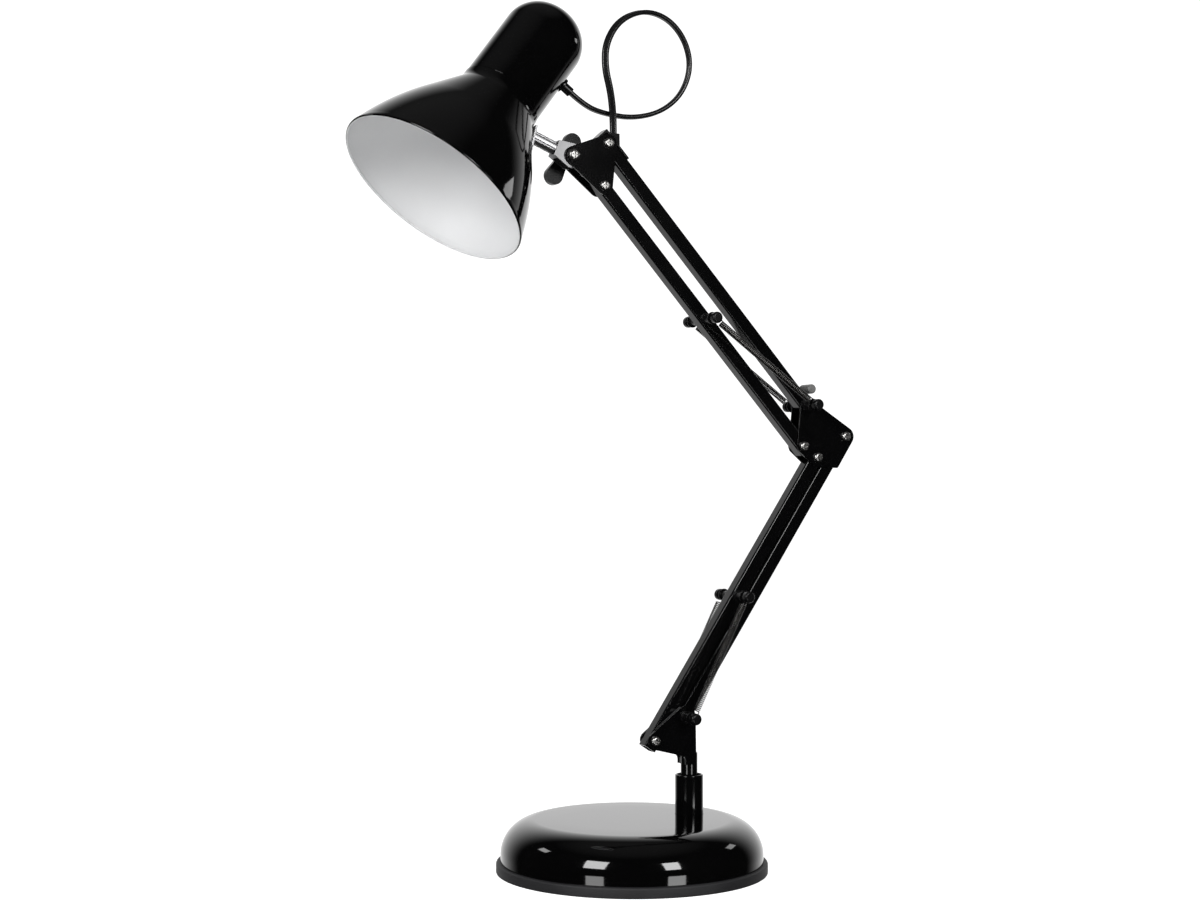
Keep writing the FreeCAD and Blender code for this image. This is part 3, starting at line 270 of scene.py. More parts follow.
GLOSS_ENAMEL = Finish(
    "gloss_black_enamel", (0.0012, 0.0012, 0.0013), (0.0018, 0.0018, 0.0019), 0.06,
    spread=0.02, grain=260.0, depth=0.05, relief=0.00003)
WHITE_ENAMEL = Finish(
    "white_enamel_inside", (0.84, 0.845, 0.85), (0.82, 0.825, 0.835), 0.52,
    spread=0.03, grain=320.0, depth=0.03, relief=0.00003)
SATIN_PAINT = Finish(
    "satin_black_paint", (0.0016, 0.0016, 0.0018), (0.0024, 0.0024, 0.0026), 0.11,
    spread=0.03, grain=2600.0, depth=0.04)
RIM_RUBBER = Finish(
    "matt_rim_rubber", (0.021, 0.021, 0.023), (0.027, 0.027, 0.029), 0.60,
    spread=0.12, grain=3400.0, depth=0.25, relief=0.00004)
CAST_IRON = Finish(
    "rough_cast_iron", (0.10, 0.095, 0.09), (0.16, 0.14, 0.12), 0.75,
    spread=0.2, grain=700.0, depth=0.8, relief=0.0004, metallic=0.6)
ZINC_SHEET = Finish(
    "zinc_plated_sheet", (0.52, 0.53, 0.54), (0.60, 0.60, 0.59), 0.38,
    spread=0.2, grain=900.0, depth=0.1, metallic=1.0)
PRESSED_FELT = Finish(
    "pressed_felt", (0.035, 0.035, 0.037), (0.06, 0.06, 0.062), 0.95,
    spread=0.05, grain=2200.0, depth=0.9, relief=0.0003, sheen=0.4)
NICKEL = Finish(
    "nickel_plate", (0.50, 0.495, 0.48), (0.43, 0.425, 0.41), 0.30,
    spread=0.10, grain=1800.0, depth=0.06, metallic=1.0)
CLAMP_ZINC = Finish(
    "clamp_zinc", (0.36, 0.36, 0.365), (0.30, 0.30, 0.305), 0.46,
    spread=0.08, grain=1400.0, depth=0.06, metallic=1.0)
CHROME = Finish(
    "bright_chrome", (0.74, 0.74, 0.75), (0.64, 0.64, 0.65), 0.40,
    spread=0.05, grain=900.0, depth=0.03, metallic=1.0)
SPRING_STEEL = Finish(
    "dark_spring_steel", (0.10, 0.097, 0.094), (0.14, 0.136, 0.132), 0.28,
    spread=0.10, grain=2400.0, depth=0.08, metallic=1.0)
BLACK_NYLON = Finish(
    "black_nylon", (0.0040, 0.0040, 0.0043), (0.0060, 0.0060, 0.0064), 0.24,
    spread=0.05, grain=2800.0, depth=0.06, specular=0.28)
PLAIN_NYLON = Finish(
    "plain_nylon", (0.72, 0.70, 0.64), (0.66, 0.64, 0.57), 0.45,
    spread=0.1, grain=1600.0, depth=0.12)
PALE_SLEEVE = Finish(
    "pale_grey_sleeve", (0.17, 0.17, 0.168), (0.21, 0.21, 0.206), 0.42,
    spread=0.12, grain=2000.0, depth=0.12)
THREAD_METAL = Finish(
    "thread_aluminium", (0.70, 0.70, 0.71), (0.62, 0.62, 0.62), 0.30,
    spread=0.15, grain=1200.0, depth=0.1, metallic=1.0)
CONTACT_BRASS = Finish(
    "contact_brass", (0.70, 0.50, 0.22), (0.60, 0.42, 0.18), 0.28,
    spread=0.15, grain=1200.0, depth=0.1, metallic=1.0)
CORD_VINYL = Finish(
    "cord_vinyl", (0.0050, 0.0050, 0.0054), (0.0070, 0.0070, 0.0075), 0.26,
    spread=0.05, grain=1900.0, depth=0.05)
# ------------------------------------------------------------------ modelling tools


def deselect_all() -> None:
    """Leave edit mode and deselect every object."""
    if bpy.context.object and bpy.context.object.mode != "OBJECT":
        bpy.ops.object.mode_set(mode="OBJECT")
    bpy.ops.object.select_all(action="DESELECT")


def take(piece: bpy.types.Object) -> None:
    """Select one object alone and make it the active one."""
    deselect_all()
    piece.select_set(True)
    bpy.context.view_layer.objects.active = piece


def settle(piece: bpy.types.Object, place: Matrix) -> None:
    """Put the object's place into its mesh, so that the object sits at the origin.

    Args:
        piece: a mesh object.
        place: where the mesh goes, from its own frame to the lamp's.
    """
    piece.data.transform(place @ piece.matrix_world)
    piece.matrix_world = Matrix.Identity(4)
    piece.data.update()


def smooth(piece: bpy.types.Object, degrees: float) -> None:
    """Shade the object smooth, but for edges sharper than the angle."""
    take(piece)
    bpy.ops.object.shade_smooth_by_angle(angle=math.radians(degrees))


def face_outwards(piece: bpy.types.Object) -> None:
    """Turn every face of the piece outwards."""
    take(piece)
    bpy.ops.object.mode_set(mode="EDIT")
    bpy.ops.mesh.select_all(action="SELECT")
    bpy.ops.mesh.normals_make_consistent(inside=False)
    bpy.ops.object.mode_set(mode="OBJECT")


def drill_hole(piece: bpy.types.Object, drill: bpy.types.Object) -> None:
    """Cut the drill's shape out of the piece, and remove the drill."""
    hole = piece.modifiers.new("hole", "BOOLEAN")
    hole.operation = "DIFFERENCE"
    hole.object = drill
    take(piece)
    bpy.ops.object.modifier_apply(modifier="hole")
    bpy.data.objects.remove(drill)


def lathe(name: str, outline: Outline, place: Matrix, steps: int) -> bpy.types.Object:
    """Turn a closed outline about the Z axis.

    Args:
        name: the piece's name.
        outline: (radius, height) corners in millimetres, in order round the section.
        place: from the turned piece's frame to the lamp's.
        steps: facets round the axis.

    Returns:
        The finished object.
    """
    corners = [(r * MM, z * MM) for r, z in outline]
    deselect_all()
    bpy.ops.mesh.primitive_plane_add(size=SEED_SIZE)
    piece = bpy.context.object
    piece.name = name
    bpy.ops.object.mode_set(mode="EDIT")
    bpy.ops.mesh.select_all(action="SELECT")
    bpy.ops.mesh.merge(type="CENTER")
    bpy.ops.transform.translate(value=(corners[0][0], 0, corners[0][1]))
    for (r0, z0), (r1, z1) in zip(corners, corners[1:] + corners[:1]):
        move = {"value": (r1 - r0, 0, z1 - z0)}
        bpy.ops.mesh.extrude_region_move(TRANSFORM_OT_translate=move)
    bpy.ops.mesh.select_all(action="SELECT")
    bpy.ops.mesh.remove_doubles(threshold=OUTLINE_JOIN)
    bpy.ops.mesh.select_all(action="SELECT")
    bpy.ops.mesh.spin(steps=steps, angle=2 * math.pi, center=(0, 0, 0), axis=(0, 0, 1))
    bpy.ops.mesh.select_all(action="SELECT")
    bpy.ops.mesh.remove_doubles(threshold=MESH_JOIN)
    bpy.ops.mesh.normals_make_consistent(inside=False)
    bpy.ops.object.mode_set(mode="OBJECT")
    settle(piece, place)
    return piece


def arc(cx: float, cz: float, radius: float, start: float, end: float, count: int) -> Outline:
    """Points on an arc, from one angle to another in degrees, both ends included."""
    turns = [math.radians(start + (end - start) * k / count) for k in range(count + 1)]
    return [(cx + radius * math.cos(t), cz + radius * math.sin(t)) for t in turns]


def dress(piece: bpy.types.Object, finish: Finish) -> None:
    """Give the whole piece one finish."""
    piece.data.materials.clear()
    piece.data.materials.append(finish.material())


def dress_node(name: str, finish: Finish) -> None:
    """Give a CAD node that stays in view its finish."""
    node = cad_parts[name]
    for index in range(len(node.data.materials)):
        node.data.materials[index] = finish.material()
    if not node.data.materials:
        node.data.materials.append(finish.material())


def softened(node: str, body: str, slot: str, finish: Finish, width: float,
             segments: int = 2) -> None:
    """Copy a CAD node and round its sharp edges, as paint and tooling leave them.

    Args:
        node: the CAD node that the copy stands for.
        body: the CAD body that it rides on.
        slot: the record's material slot; it is not used.
        finish: its finish.
        width: the rounding in millimetres.
        segments: facets across each rounding.
    """
    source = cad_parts[node]
    piece = bpy.data.objects.new(node + "_finished", source.data.copy())
    bpy.context.scene.collection.objects.link(piece)
    take(piece)
    bpy.ops.object.mode_set(mode="EDIT")
    bpy.ops.mesh.select_all(action="SELECT")
    bpy.ops.mesh.remove_doubles(threshold=MESH_JOIN)
    bpy.ops.mesh.dissolve_limited(angle_limit=math.radians(FLAT_JOINT))
    bpy.ops.object.mode_set(mode="OBJECT")
    bevel = piece.modifiers.new("edge", "BEVEL")
    bevel.width = width * MM
    bevel.segments = segments
    bevel.limit_method = "ANGLE"
    bevel.angle_limit = math.radians(ROUNDED_EDGE)
    bpy.ops.object.modifier_apply(modifier="edge")
    smooth(piece, COPIED_EDGE)
    level = piece.modifiers.new("level", "WEIGHTED_NORMAL")
    level.keep_sharp = True
    level.weight = FACE_AREA_WEIGHT
    bpy.ops.object.modifier_apply(modifier="level")
    dress(piece, finish)
    add_piece(piece, body, slot, node)


def add_piece(piece: bpy.types.Object, body: str, slot: str, *nodes: str) -> None:
    """Tie a new piece to its CAD body and hide the nodes that it stands for."""
    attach(piece, body)
    if nodes:
        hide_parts(*nodes)


# ------------------------------------------------------------------ places


@dataclass(frozen=True)
class Skeleton:
    """The pivots of the arms and the head, from the same sizes as the solids (mm, degrees)."""

    post_offset: float = 45.5
    pivot_back: float = 30.0
    pivot_height: float = 90.0
    lower_link: tuple[float, float] = (24.0, 15.7)
    lower_length: float = 241.0
    lower_lean: float = 33.8
    fold: tuple[float, float] = (-12.0, 8.1)
    upper_link: tuple[float, float] = (3.0, 30.0)
    upper_length: float = 242.0
    upper_lean: float = -41.9
    tilt: tuple[float, float] = (-24.0, 19.6)
    stem_angle: float = 22.0
    head_reach: tuple[float, float] = (-51.4, 37.1)
    head_lean: float = 37.7
    head_turn: float = 6.0

    @staticmethod
    def step(start: Vector, move: tuple[float, float]) -> Vector:
        """A point moved in the arms' plane, by millimetres."""
        return start + Vector((move[0], 0, move[1])) * MM

    @staticmethod
    def way(lean: float) -> Vector:
        """The direction of an arm that leans from upright towards +X."""
        return Vector((math.sin(math.radians(lean)), 0, math.cos(math.radians(lean))))

    @property
    def lower_main(self) -> Vector:
        """The lower arm's foot pivot."""
        return Vector((self.post_offset - self.pivot_back, 0, self.pivot_height)) * MM

    @property
    def lower_anchor(self) -> Vector:
        """The stud at the bracket that holds the lower springs."""
        return self.step(self.lower_main, self.lower_link)

    @property
    def lower_mid(self) -> Vector:
        """The stud halfway up the lower arm."""
        return self.lower_main + self.way(self.lower_lean) * (self.lower_length / 2 * MM)

    @property
    def elbow_main(self) -> Vector:
        """The lower arm's top pivot."""
        return self.lower_main + self.way(self.lower_lean) * (self.lower_length * MM)

    @property
    def upper_main(self) -> Vector:
        """The upper arm's foot pivot."""
        return self.step(self.elbow_main, self.fold)

    @property
    def upper_anchor(self) -> Vector:
        """The stud at the elbow that holds the upper springs."""
        return self.step(self.upper_main, self.upper_link)

    @property
    def upper_mid(self) -> Vector:
        """The stud halfway up the upper arm."""
        return self.upper_main + self.way(self.upper_lean) * (self.upper_length / 2 * MM)

    @property
    def tilt_pivot(self) -> Vector:
        """The pivot that the head tilts about."""
        top = self.upper_main + self.way(self.upper_lean) * (self.upper_length * MM)
        return self.step(top, self.tilt)

    @property
    def stem_way(self) -> Vector:
        """The direction of the stem, from the tilt pivot to the shade."""
        angle = math.radians(self.stem_angle)
        return Vector((-math.cos(angle), 0, math.sin(angle)))

    @property
    def head_place(self) -> Matrix:
        """From the head's own frame, whose Z runs up its axis, to the lamp's."""
        swivel = Matrix.Rotation(math.radians(self.head_turn), 4, self.stem_way)
        lean = Matrix.Rotation(math.radians(self.head_lean), 4, "Y")
        reach = Matrix.Translation(Vector((self.head_reach[0], 0, self.head_reach[1])) * MM)
        return Matrix.Translation(self.tilt_pivot) @ swivel @ reach @ lean


# ------------------------------------------------------------------ camera and studio


@dataclass(frozen=True)
class SoftLamp:
    """One soft rectangular lamp that faces the middle of the set.

    Azimuth is in degrees round from the camera's side, positive to its right, and height in
    degrees above level. Distance and size, a width and a height, are in metres, and power
    is in watts.
    """

    name: str
    azimuth: float
    height: float
    distance: float
    size: Span
    power: float


@dataclass
class StudioSet:
    """The camera, the pale floor and backdrop, and the soft lamps (metres, degrees)."""

    camera_place: Vector = field(default_factory=lambda: Vector((-0.60002, -1.20423, 0.26639)))
    camera_yaw: float = 25.536
    camera_pitch: float = 1.198
    lens: float = 57.38
    sensor: float = 36.0
    nearest: float = 0.01
    middle: Vector = field(default_factory=lambda: Vector((0, 0, 0.10)))
    soft_lamps: tuple[SoftLamp, ...] = (
        SoftLamp("softbox_left", -33.5, 25, 1.9, (0.62, 0.74), 19),
        SoftLamp("softbox_right", 34.5, 21, 1.9, (0.45, 0.70), 14),
        SoftLamp("low_left", -32, -13, 1.9, (0.50, 0.34), 2.6),
        SoftLamp("low_right", 37, -13, 1.9, (0.50, 0.34), 3.0),
        SoftLamp("side_left", -98, 33, 1.36, (0.26, 0.16), 0.65),
        SoftLamp("side_right", 113, 29, 1.36, (0.26, 0.16), 0.40),
    )
    backdrop_reach: Span = (0.42, 0.95)
    backdrop_light: Span = (0.012, 1.17)
    ceiling_reach: Span = (0.70, 1.0)
    ceiling_light: Span = (0.0, 0.11)
    floor_size: float = 12.0
    floor_colour: tuple[float, float, float, float] = (0.80, 0.80, 0.80, 1)
    floor_glow: float = 0.92

    def camera(self) -> None:
        """Place the camera at the photograph's viewing angle."""
        data = bpy.data.cameras.new("camera")
        data.sensor_width = self.sensor
        data.sensor_fit = "HORIZONTAL"
        data.lens = self.lens
        data.clip_start = self.nearest
        made = bpy.data.objects.new("camera", data)
        bpy.context.scene.collection.objects.link(made)
        made.location = self.camera_place
        pitch, yaw = math.radians(90 + self.camera_pitch), math.radians(self.camera_yaw)
        made.rotation_euler = (pitch, 0, -yaw)
        bpy.context.scene.camera = made

    def directions(self) -> tuple[Vector, Vector]:
        """The level directions towards the camera and to its right."""
        yaw = math.radians(self.camera_yaw)
        towards = Vector((-math.sin(yaw), -math.cos(yaw), 0))
        right = Vector((math.cos(yaw), -math.sin(yaw), 0))
        return towards, right

    def lamps(self) -> None:
        """Two softboxes in front, their dim reflections from below, and a small lamp each side."""
        towards, right = self.directions()
        for lamp in self.soft_lamps:
            turn, rise = math.radians(lamp.azimuth), math.radians(lamp.height)
            way = (towards * math.cos(turn) + right * math.sin(turn)) * math.cos(rise)
            way += Vector((0, 0, math.sin(rise)))
            data = bpy.data.lights.new(lamp.name, "AREA")
            data.shape = "RECTANGLE"
            data.size, data.size_y = lamp.size
            data.energy = lamp.power
            made = bpy.data.objects.new(lamp.name, data)
            bpy.context.scene.collection.objects.link(made)
            made.location = self.middle + way * lamp.distance
            made.rotation_euler = (-way).to_track_quat("-Z", "Y").to_euler()

    def world(self) -> None:
        """Light the world: a bright backdrop, a dim ceiling and a dark room in front.

        Gloss shows them. To the camera every direction is white.
        """
        world = bpy.data.worlds.new("studio")
        bpy.context.scene.world = world
        world.use_nodes = True
        tree = world.node_tree
        tree.nodes.clear()
        out = tree.nodes.new("ShaderNodeOutputWorld")
        place = tree.nodes.new("ShaderNodeTexCoord")
        split = tree.nodes.new("ShaderNodeSeparateXYZ")
        tree.links.new(place.outputs["Generated"], split.inputs["Vector"])
        towards, _ = self.directions()
        along_x = combine(tree, "MULTIPLY", split.outputs["X"], -towards.x)
        along_y = combine(tree, "MULTIPLY", split.outputs["Y"], -towards.y)
        away = combine(tree, "ADD", along_x, along_y)
        backdrop = map_range(tree, away, self.backdrop_reach, self.backdrop_light,
                             "SMOOTHSTEP")
        ceiling = map_range(tree, split.outputs["Z"], self.ceiling_reach, self.ceiling_light,
                            "SMOOTHSTEP")
        room = combine(tree, "MAXIMUM", backdrop, ceiling)
        rays = tree.nodes.new("ShaderNodeLightPath")
        level = combine(tree, "MAXIMUM", room, rays.outputs["Is Camera Ray"])
        back = tree.nodes.new("ShaderNodeBackground")
        back.inputs["Color"].default_value = WHITE
        tree.links.new(level, back.inputs["Strength"])
        tree.links.new(back.outputs["Background"], out.inputs["Surface"])

    def floor(self) -> None:
        """Add the pale floor: white to the camera, with the object's soft shadow.

        Glossy rays pass through it to the world, so that gloss mirrors no floor.
        """
        deselect_all()
        bpy.ops.mesh.primitive_plane_add(size=self.floor_size, location=(0, 0, 0))
        made = bpy.context.object
        made.name = "floor"
        paint = bpy.data.materials.new("pale_floor")
        paint.use_nodes = True
        tree = paint.node_tree
        tree.nodes.clear()
        out = tree.nodes.new("ShaderNodeOutputMaterial")
        matt = tree.nodes.new("ShaderNodeBsdfDiffuse")
        matt.inputs["Color"].default_value = self.floor_colour
        glow = tree.nodes.new("ShaderNodeEmission")
        glow.inputs["Color"].default_value = WHITE
        rays = tree.nodes.new("ShaderNodeLightPath")
        level = combine(tree, "MULTIPLY", rays.outputs["Is Camera Ray"], self.floor_glow)
        tree.links.new(level, glow.inputs["Strength"])
        both = tree.nodes.new("ShaderNodeAddShader")
        tree.links.new(matt.outputs["BSDF"], both.inputs[0])
        tree.links.new(glow.outputs["Emission"], both.inputs[1])
        clear = tree.nodes.new("ShaderNodeBsdfTransparent")
        choice = tree.nodes.new("ShaderNodeMixShader")
        tree.links.new(rays.outputs["Is Glossy Ray"], choice.inputs[0])
        tree.links.new(both.outputs["Shader"], choice.inputs[1])
        tree.links.new(clear.outputs["BSDF"], choice.inputs[2])
        tree.links.new(choice.outputs["Shader"], out.inputs["Surface"])
        made.data.materials.append(paint)


# ------------------------------------------------------------------ cord


@dataclass
class CordLoop:
    """The flat twin cord that loops from the housing's gland to the upper link tube's cap."""

    route: tuple[tuple[float, float, float], ...] = (
        (-0.04533, 0.00454, 0.54363), (-0.03424, 0.00415, 0.53508), (-0.018, 0.0058, 0.5314),
        (0.0035, 0.0056, 0.53), (0.0255, 0.0046, 0.536), (0.0415, 0.003, 0.5495),
        (0.048, 0.0005, 0.5695), (0.042, -0.0015, 0.5885), (0.0275, -0.003, 0.602),
        (0.008, -0.004, 0.6055), (-0.012, -0.005, 0.5965), (-0.023, -0.0055, 0.579),
        (-0.0235, -0.0055, 0.561), (-0.0185, -0.0045, 0.545), (-0.01438, 0.0, 0.52849),
        (-0.01438, 0.0, 0.51649),
    )
    line_steps: int = 12
    core_radius: float = 1.72
    core_offset: float = 0.86
    core_steps: int = 9
    waist_share: float = 0.80
    twist: float = -64.5
    twist_span: Span = (0.55, 0.78)

    def line(self) -> list[Vector]:
        """Read the points of the smooth line that the route controls.

        Returns:
            Points along the line, in the lamp's frame.
        """
        data = bpy.data.curves.new("cord_line", "CURVE")
        data.dimensions = "3D"
        data.resolution_u = self.line_steps
        spline = data.splines.new("NURBS")
        spline.points.add(len(self.route) - 1)
        for point, place in zip(spline.points, self.route):
            point.co = (*place, 1.0)
        spline.order_u = 3
        spline.use_endpoint_u = True
        guide = bpy.data.objects.new("cord_line", data)
        bpy.context.scene.collection.objects.link(guide)
        bpy.context.view_layer.update()
        graph = bpy.context.evaluated_depsgraph_get()
        mesh = bpy.data.meshes.new_from_object(guide.evaluated_get(graph))
        points = [vertex.co.copy() for vertex in mesh.vertices]
        bpy.data.objects.remove(guide)
        bpy.data.meshes.remove(mesh)
        return points

    def section(self) -> Outline:
        """The twin cord's section: two round cores moulded side by side (mm)."""
        corners = []
        reach = math.acos(self.core_offset / self.core_radius / 2) - math.pi / 2
        for sign in (1, -1):
            start = -sign * math.pi / 2
            low, high = start - reach / 2, start + math.pi + reach / 2
            for k in range(self.core_steps + 1):
                turn = low + (high - low) * k / self.core_steps
                corners.append((sign * self.core_offset + self.core_radius * math.cos(turn),
                                self.core_radius * math.sin(turn)))
            corners.append((0.0, sign * self.core_radius * self.waist_share))
        return corners

    def wide_way(self, way: Vector, share: float) -> Vector:
        """The section's wide direction: across the loop, then twisted into its plane.

        Args:
            way: the line's direction.
            share: how far along the whole line the point is, from 0 to 1.

        Returns:
            The wide direction, square to the line.
        """
        across = (Vector((0, 1, 0)) - way * way.y).normalized()
        low, high = self.twist_span
        ease = min(max((share - low) / (high - low), 0.0), 1.0)
        turn = math.radians(self.twist) * ease * ease * (3 - 2 * ease)
        return Matrix.Rotation(turn, 3, way) @ across

    def sweep(self, name: str, points: list[Vector], ways: list[Vector],
              shares: list[float]) -> bpy.types.Object:
        """Sweep the section along part of the line.

        Args:
            name: the piece's name.
            points: the part's points.
            ways: the line's direction at each point.
            shares: how far along the whole line each point is, from 0 to 1.

        Returns:
            The swept piece.
        """
        section = self.section()
        count = len(section)
        vertices, faces = [], []
        for point, way, share in zip(points, ways, shares):
            wide = self.wide_way(way, share)
            thin = way.cross(wide)
            vertices += [point + (wide * a + thin * b) * MM for a, b in section]
        for ring in range(len(points) - 1):
            for k in range(count):
                a, b = ring * count + k, ring * count + (k + 1) % count
                faces.append((a, b, b + count, a + count))
        faces.append(tuple(reversed(range(count))))
        faces.append(tuple(range(len(vertices) - count, len(vertices))))
        mesh = bpy.data.meshes.new(name)
        mesh.from_pydata(vertices, [], faces)
        piece = bpy.data.objects.new(name, mesh)
        bpy.context.scene.collection.objects.link(piece)
        face_outwards(piece)
        smooth(piece, CORD_EDGE)
        dress(piece, CORD_VINYL)
        return piece

    def build(self) -> None:
        """Make the cord in two lengths that meet at the top of its loop.
        """
        points = self.line()
        ways = [(points[min(i + 1, len(points) - 1)] - points[max(i - 1, 0)]).normalized()
                for i in range(len(points))]
        shares = [i / (len(points) - 1) for i in range(len(points))]
        middle = len(points) // 2
        parts = {"cord_from_housing": (0, middle + 1), "cord_to_arm": (middle, len(points))}
        made = {}
        for name, (first, last) in parts.items():
            run = points[first:last]
            piece = self.sweep(name, run, ways[first:last], shares[first:last])
            made[name] = (piece, run)
        piece, run = made["cord_from_housing"]
        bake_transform(piece)
        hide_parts("cord_loop")
        piece, run = made["cord_to_arm"]
        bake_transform(piece)


# ------------------------------------------------------------------ base


@dataclass
class BaseUnit:
    """The weighted base: soft rim, gloss cover, post and the pieces underneath (mm)."""

    radius: float = 95.0
    rim_height: float = 7.2
    rim_inside: float = 86.0
    rim_foot_edge: float = 0.6
    rim_top_edge: float = 1.3
    seat_radius: float = 88.0
    seat_height: float = 2.6
    cover_radius: float = 92.0
    cover_top: float = 36.4
    cover_bend: float = 24.0
    cover_rings: tuple[float, ...] = (0.66, 0.33, 0.0)
    wall: float = 1.0
    post_offset: float = 45.5
    post_radius: float = 10.0
    post_wall: float = 1.5
    post_foot: float = 2.9
    post_top: float = 64.5
    post_edge: float = 0.75
    bore_foot: float = 36.0
    flange_radius: float = 13.0
    flange_span: Span = (32.4, 35.4)
    drill_gap: float = 0.2
    drill_depth: float = 30.0
    screw_edge: float = 0.2
    facets: int = 192
    post_facets: int = 96
    drill_facets: int = 64
    bend_steps: int = 28

    def cover(self) -> None:
        """Turn the pressed cover and cut the post's hole in it."""
        out, bend, top = self.cover_radius, self.cover_bend, self.cover_top
        inner = out - bend
        outline = [(out - self.wall, self.rim_height), (out, self.rim_height)]
        outline += arc(inner, top - bend, bend, 0, 90, self.bend_steps)
        outline += [(inner * share, top) for share in self.cover_rings]
        outline += [(0.0, top - self.wall)]
        outline += arc(inner, top - bend, bend - self.wall, 90, 0, self.bend_steps)
        piece = lathe("cover_shell", outline, Matrix.Identity(4), self.facets)
        deselect_all()
        bpy.ops.mesh.primitive_cylinder_add(
            vertices=self.drill_facets, radius=(self.post_radius + self.drill_gap) * MM,
            depth=self.drill_depth * MM, location=(self.post_offset * MM, 0, top * MM))
        drill_hole(piece, bpy.context.object)
        smooth(piece, TURNED_EDGE)
        dress(piece, GLOSS_ENAMEL)
        add_piece(piece, "base", "gloss_black_enamel", "base_cover")

    def rim(self) -> None:
        """Turn the soft rim with its rounded foot and top edge."""
        out, top = self.radius, self.rim_height
        foot, edge = self.rim_foot_edge, self.rim_top_edge
        outline = [(self.seat_radius, 0.0), (out - foot, 0.0)]
        outline += arc(out - foot, foot, foot, -90, 0, 4)
        outline += arc(out - edge, top - edge, edge, 0, 90, 8)
        outline += [(self.rim_inside, top), (self.rim_inside, self.seat_height),
                    (self.seat_radius, self.seat_height)]
        piece = lathe("soft_rim", outline, Matrix.Identity(4), self.facets)
        smooth(piece, TURNED_EDGE)
        dress(piece, RIM_RUBBER)
        add_piece(piece, "base", "rim_rubber", "rim_ring")

    def post(self) -> None:
        """Turn the post tube with its rolled top edge and its flange on the cover."""
        out, wall, top, edge = self.post_radius, self.post_wall, self.post_top, self.post_edge
        low, high = self.flange_span
        outline = [(out - 2 * wall, self.post_foot), (out, self.post_foot), (out, low),
                   (self.flange_radius, low), (self.flange_radius, high), (out, high)]
        outline += arc(out - edge, top - edge, edge, 0, 90, 6)
        outline += arc(out - wall + edge, top - edge, edge, 90, 180, 6)
        outline += [(out - wall, self.bore_foot), (out - 2 * wall, self.bore_foot)]
        place = Matrix.Translation((self.post_offset * MM, 0, 0))
        piece = lathe("post_tube", outline, place, self.post_facets)
        smooth(piece, TURNED_EDGE)
        dress(piece, SATIN_PAINT)
        add_piece(piece, "base", "satin_black_paint", "post_socket")

    def build(self) -> None:
        """Make the base's pieces and dress the ones that stay as they are."""
        self.cover()
        self.rim()
        self.post()
        for node, finish in (("base_weight", CAST_IRON), ("bottom_plate", ZINC_SHEET),
                             ("felt_pad", PRESSED_FELT), ("post_nut", ZINC_SHEET),
                             ("post_bush", PLAIN_NYLON)):
            dress_node(node, finish)
        softened("bottom_screws", "base", "screw_nickel", NICKEL, self.screw_edge)
        log.info("base: cover, rim, post and the pieces underneath")


# ------------------------------------------------------------------ arms


@dataclass
class PaintedParts:
    """The painted tubes, cheeks and bracket: node, body and width of its softened edges (mm)."""

    parts: tuple[tuple[str, str, float], ...] = (
        ("lower_bracket", "swivel_bracket", 0.15),
        ("lower_main_tube", "lower_arm", 0.06),
        ("lower_link_tube", "lower_link", 0.06),
        ("elbow_near_cheek", "elbow", 0.12),
        ("elbow_far_cheek", "elbow", 0.12),
        ("upper_main_tube", "upper_arm", 0.06),
        ("upper_link_tube", "upper_link", 0.06),
        ("head_near_cheek", "head_bracket", 0.12),
        ("head_far_cheek", "head_bracket", 0.12),
    )

    def build(self) -> None:
        """Soften and paint each piece."""
        for node, body, width in self.parts:
            softened(node, body, "satin_black_paint", SATIN_PAINT, width)
            log.info("painted part: %s", node)


@dataclass
class Fittings:
    """Screws, nuts, studs, spools, caps and the other small pieces, with their roundings (mm)."""

    metal: tuple[tuple[str, str], ...] = (
        ("lower_pivot_screw", "swivel_bracket"), ("lower_pivot_nut", "swivel_bracket"),
        ("lower_anchor_stud", "swivel_bracket"), ("lower_mid_stud", "lower_arm"),
        ("elbow_screws", "elbow"), ("elbow_nuts", "elbow"), ("elbow_anchor_stud", "elbow"),
        ("upper_mid_stud", "upper_arm"), ("head_bracket_screws", "head_bracket"),
        ("head_bracket_nuts", "head_bracket"), ("head_tilt_screw", "head_bracket"),
        ("clamp_washer", "head_bracket"),
    )
    moulded: tuple[tuple[str, str], ...] = (
        ("lower_anchor_spools", "swivel_bracket"), ("lower_anchor_caps", "swivel_bracket"),
        ("lower_mid_spools", "lower_arm"), ("lower_mid_caps", "lower_arm"),
        ("elbow_anchor_spools", "elbow"), ("elbow_anchor_caps", "elbow"),
        ("upper_mid_spools", "upper_arm"), ("upper_mid_caps", "upper_arm"),
        ("tube_end_cap", "upper_link"), ("cord_gland", "head"),
    )
    metal_edge: float = 0.16
    moulded_edge: float = 0.25
    stop_edge: float = 0.2
    wing_edge: float = 0.7
    wing_segments: int = 3

    def build(self) -> None:
        """Soften and dress each fitting."""
        for node, body in self.metal:
            softened(node, body, "screw_nickel", NICKEL, self.metal_edge)
        for node, body in self.moulded:
            softened(node, body, "black_nylon", BLACK_NYLON, self.moulded_edge)
        softened("elbow_stop", "elbow", "stop_grey", PALE_SLEEVE, self.stop_edge)
        softened("wing_nut", "wing_nut", "black_nylon", BLACK_NYLON, self.wing_edge,
                 self.wing_segments)
        log.info("fittings: %d metal, %d moulded", len(self.metal), len(self.moulded) + 2)


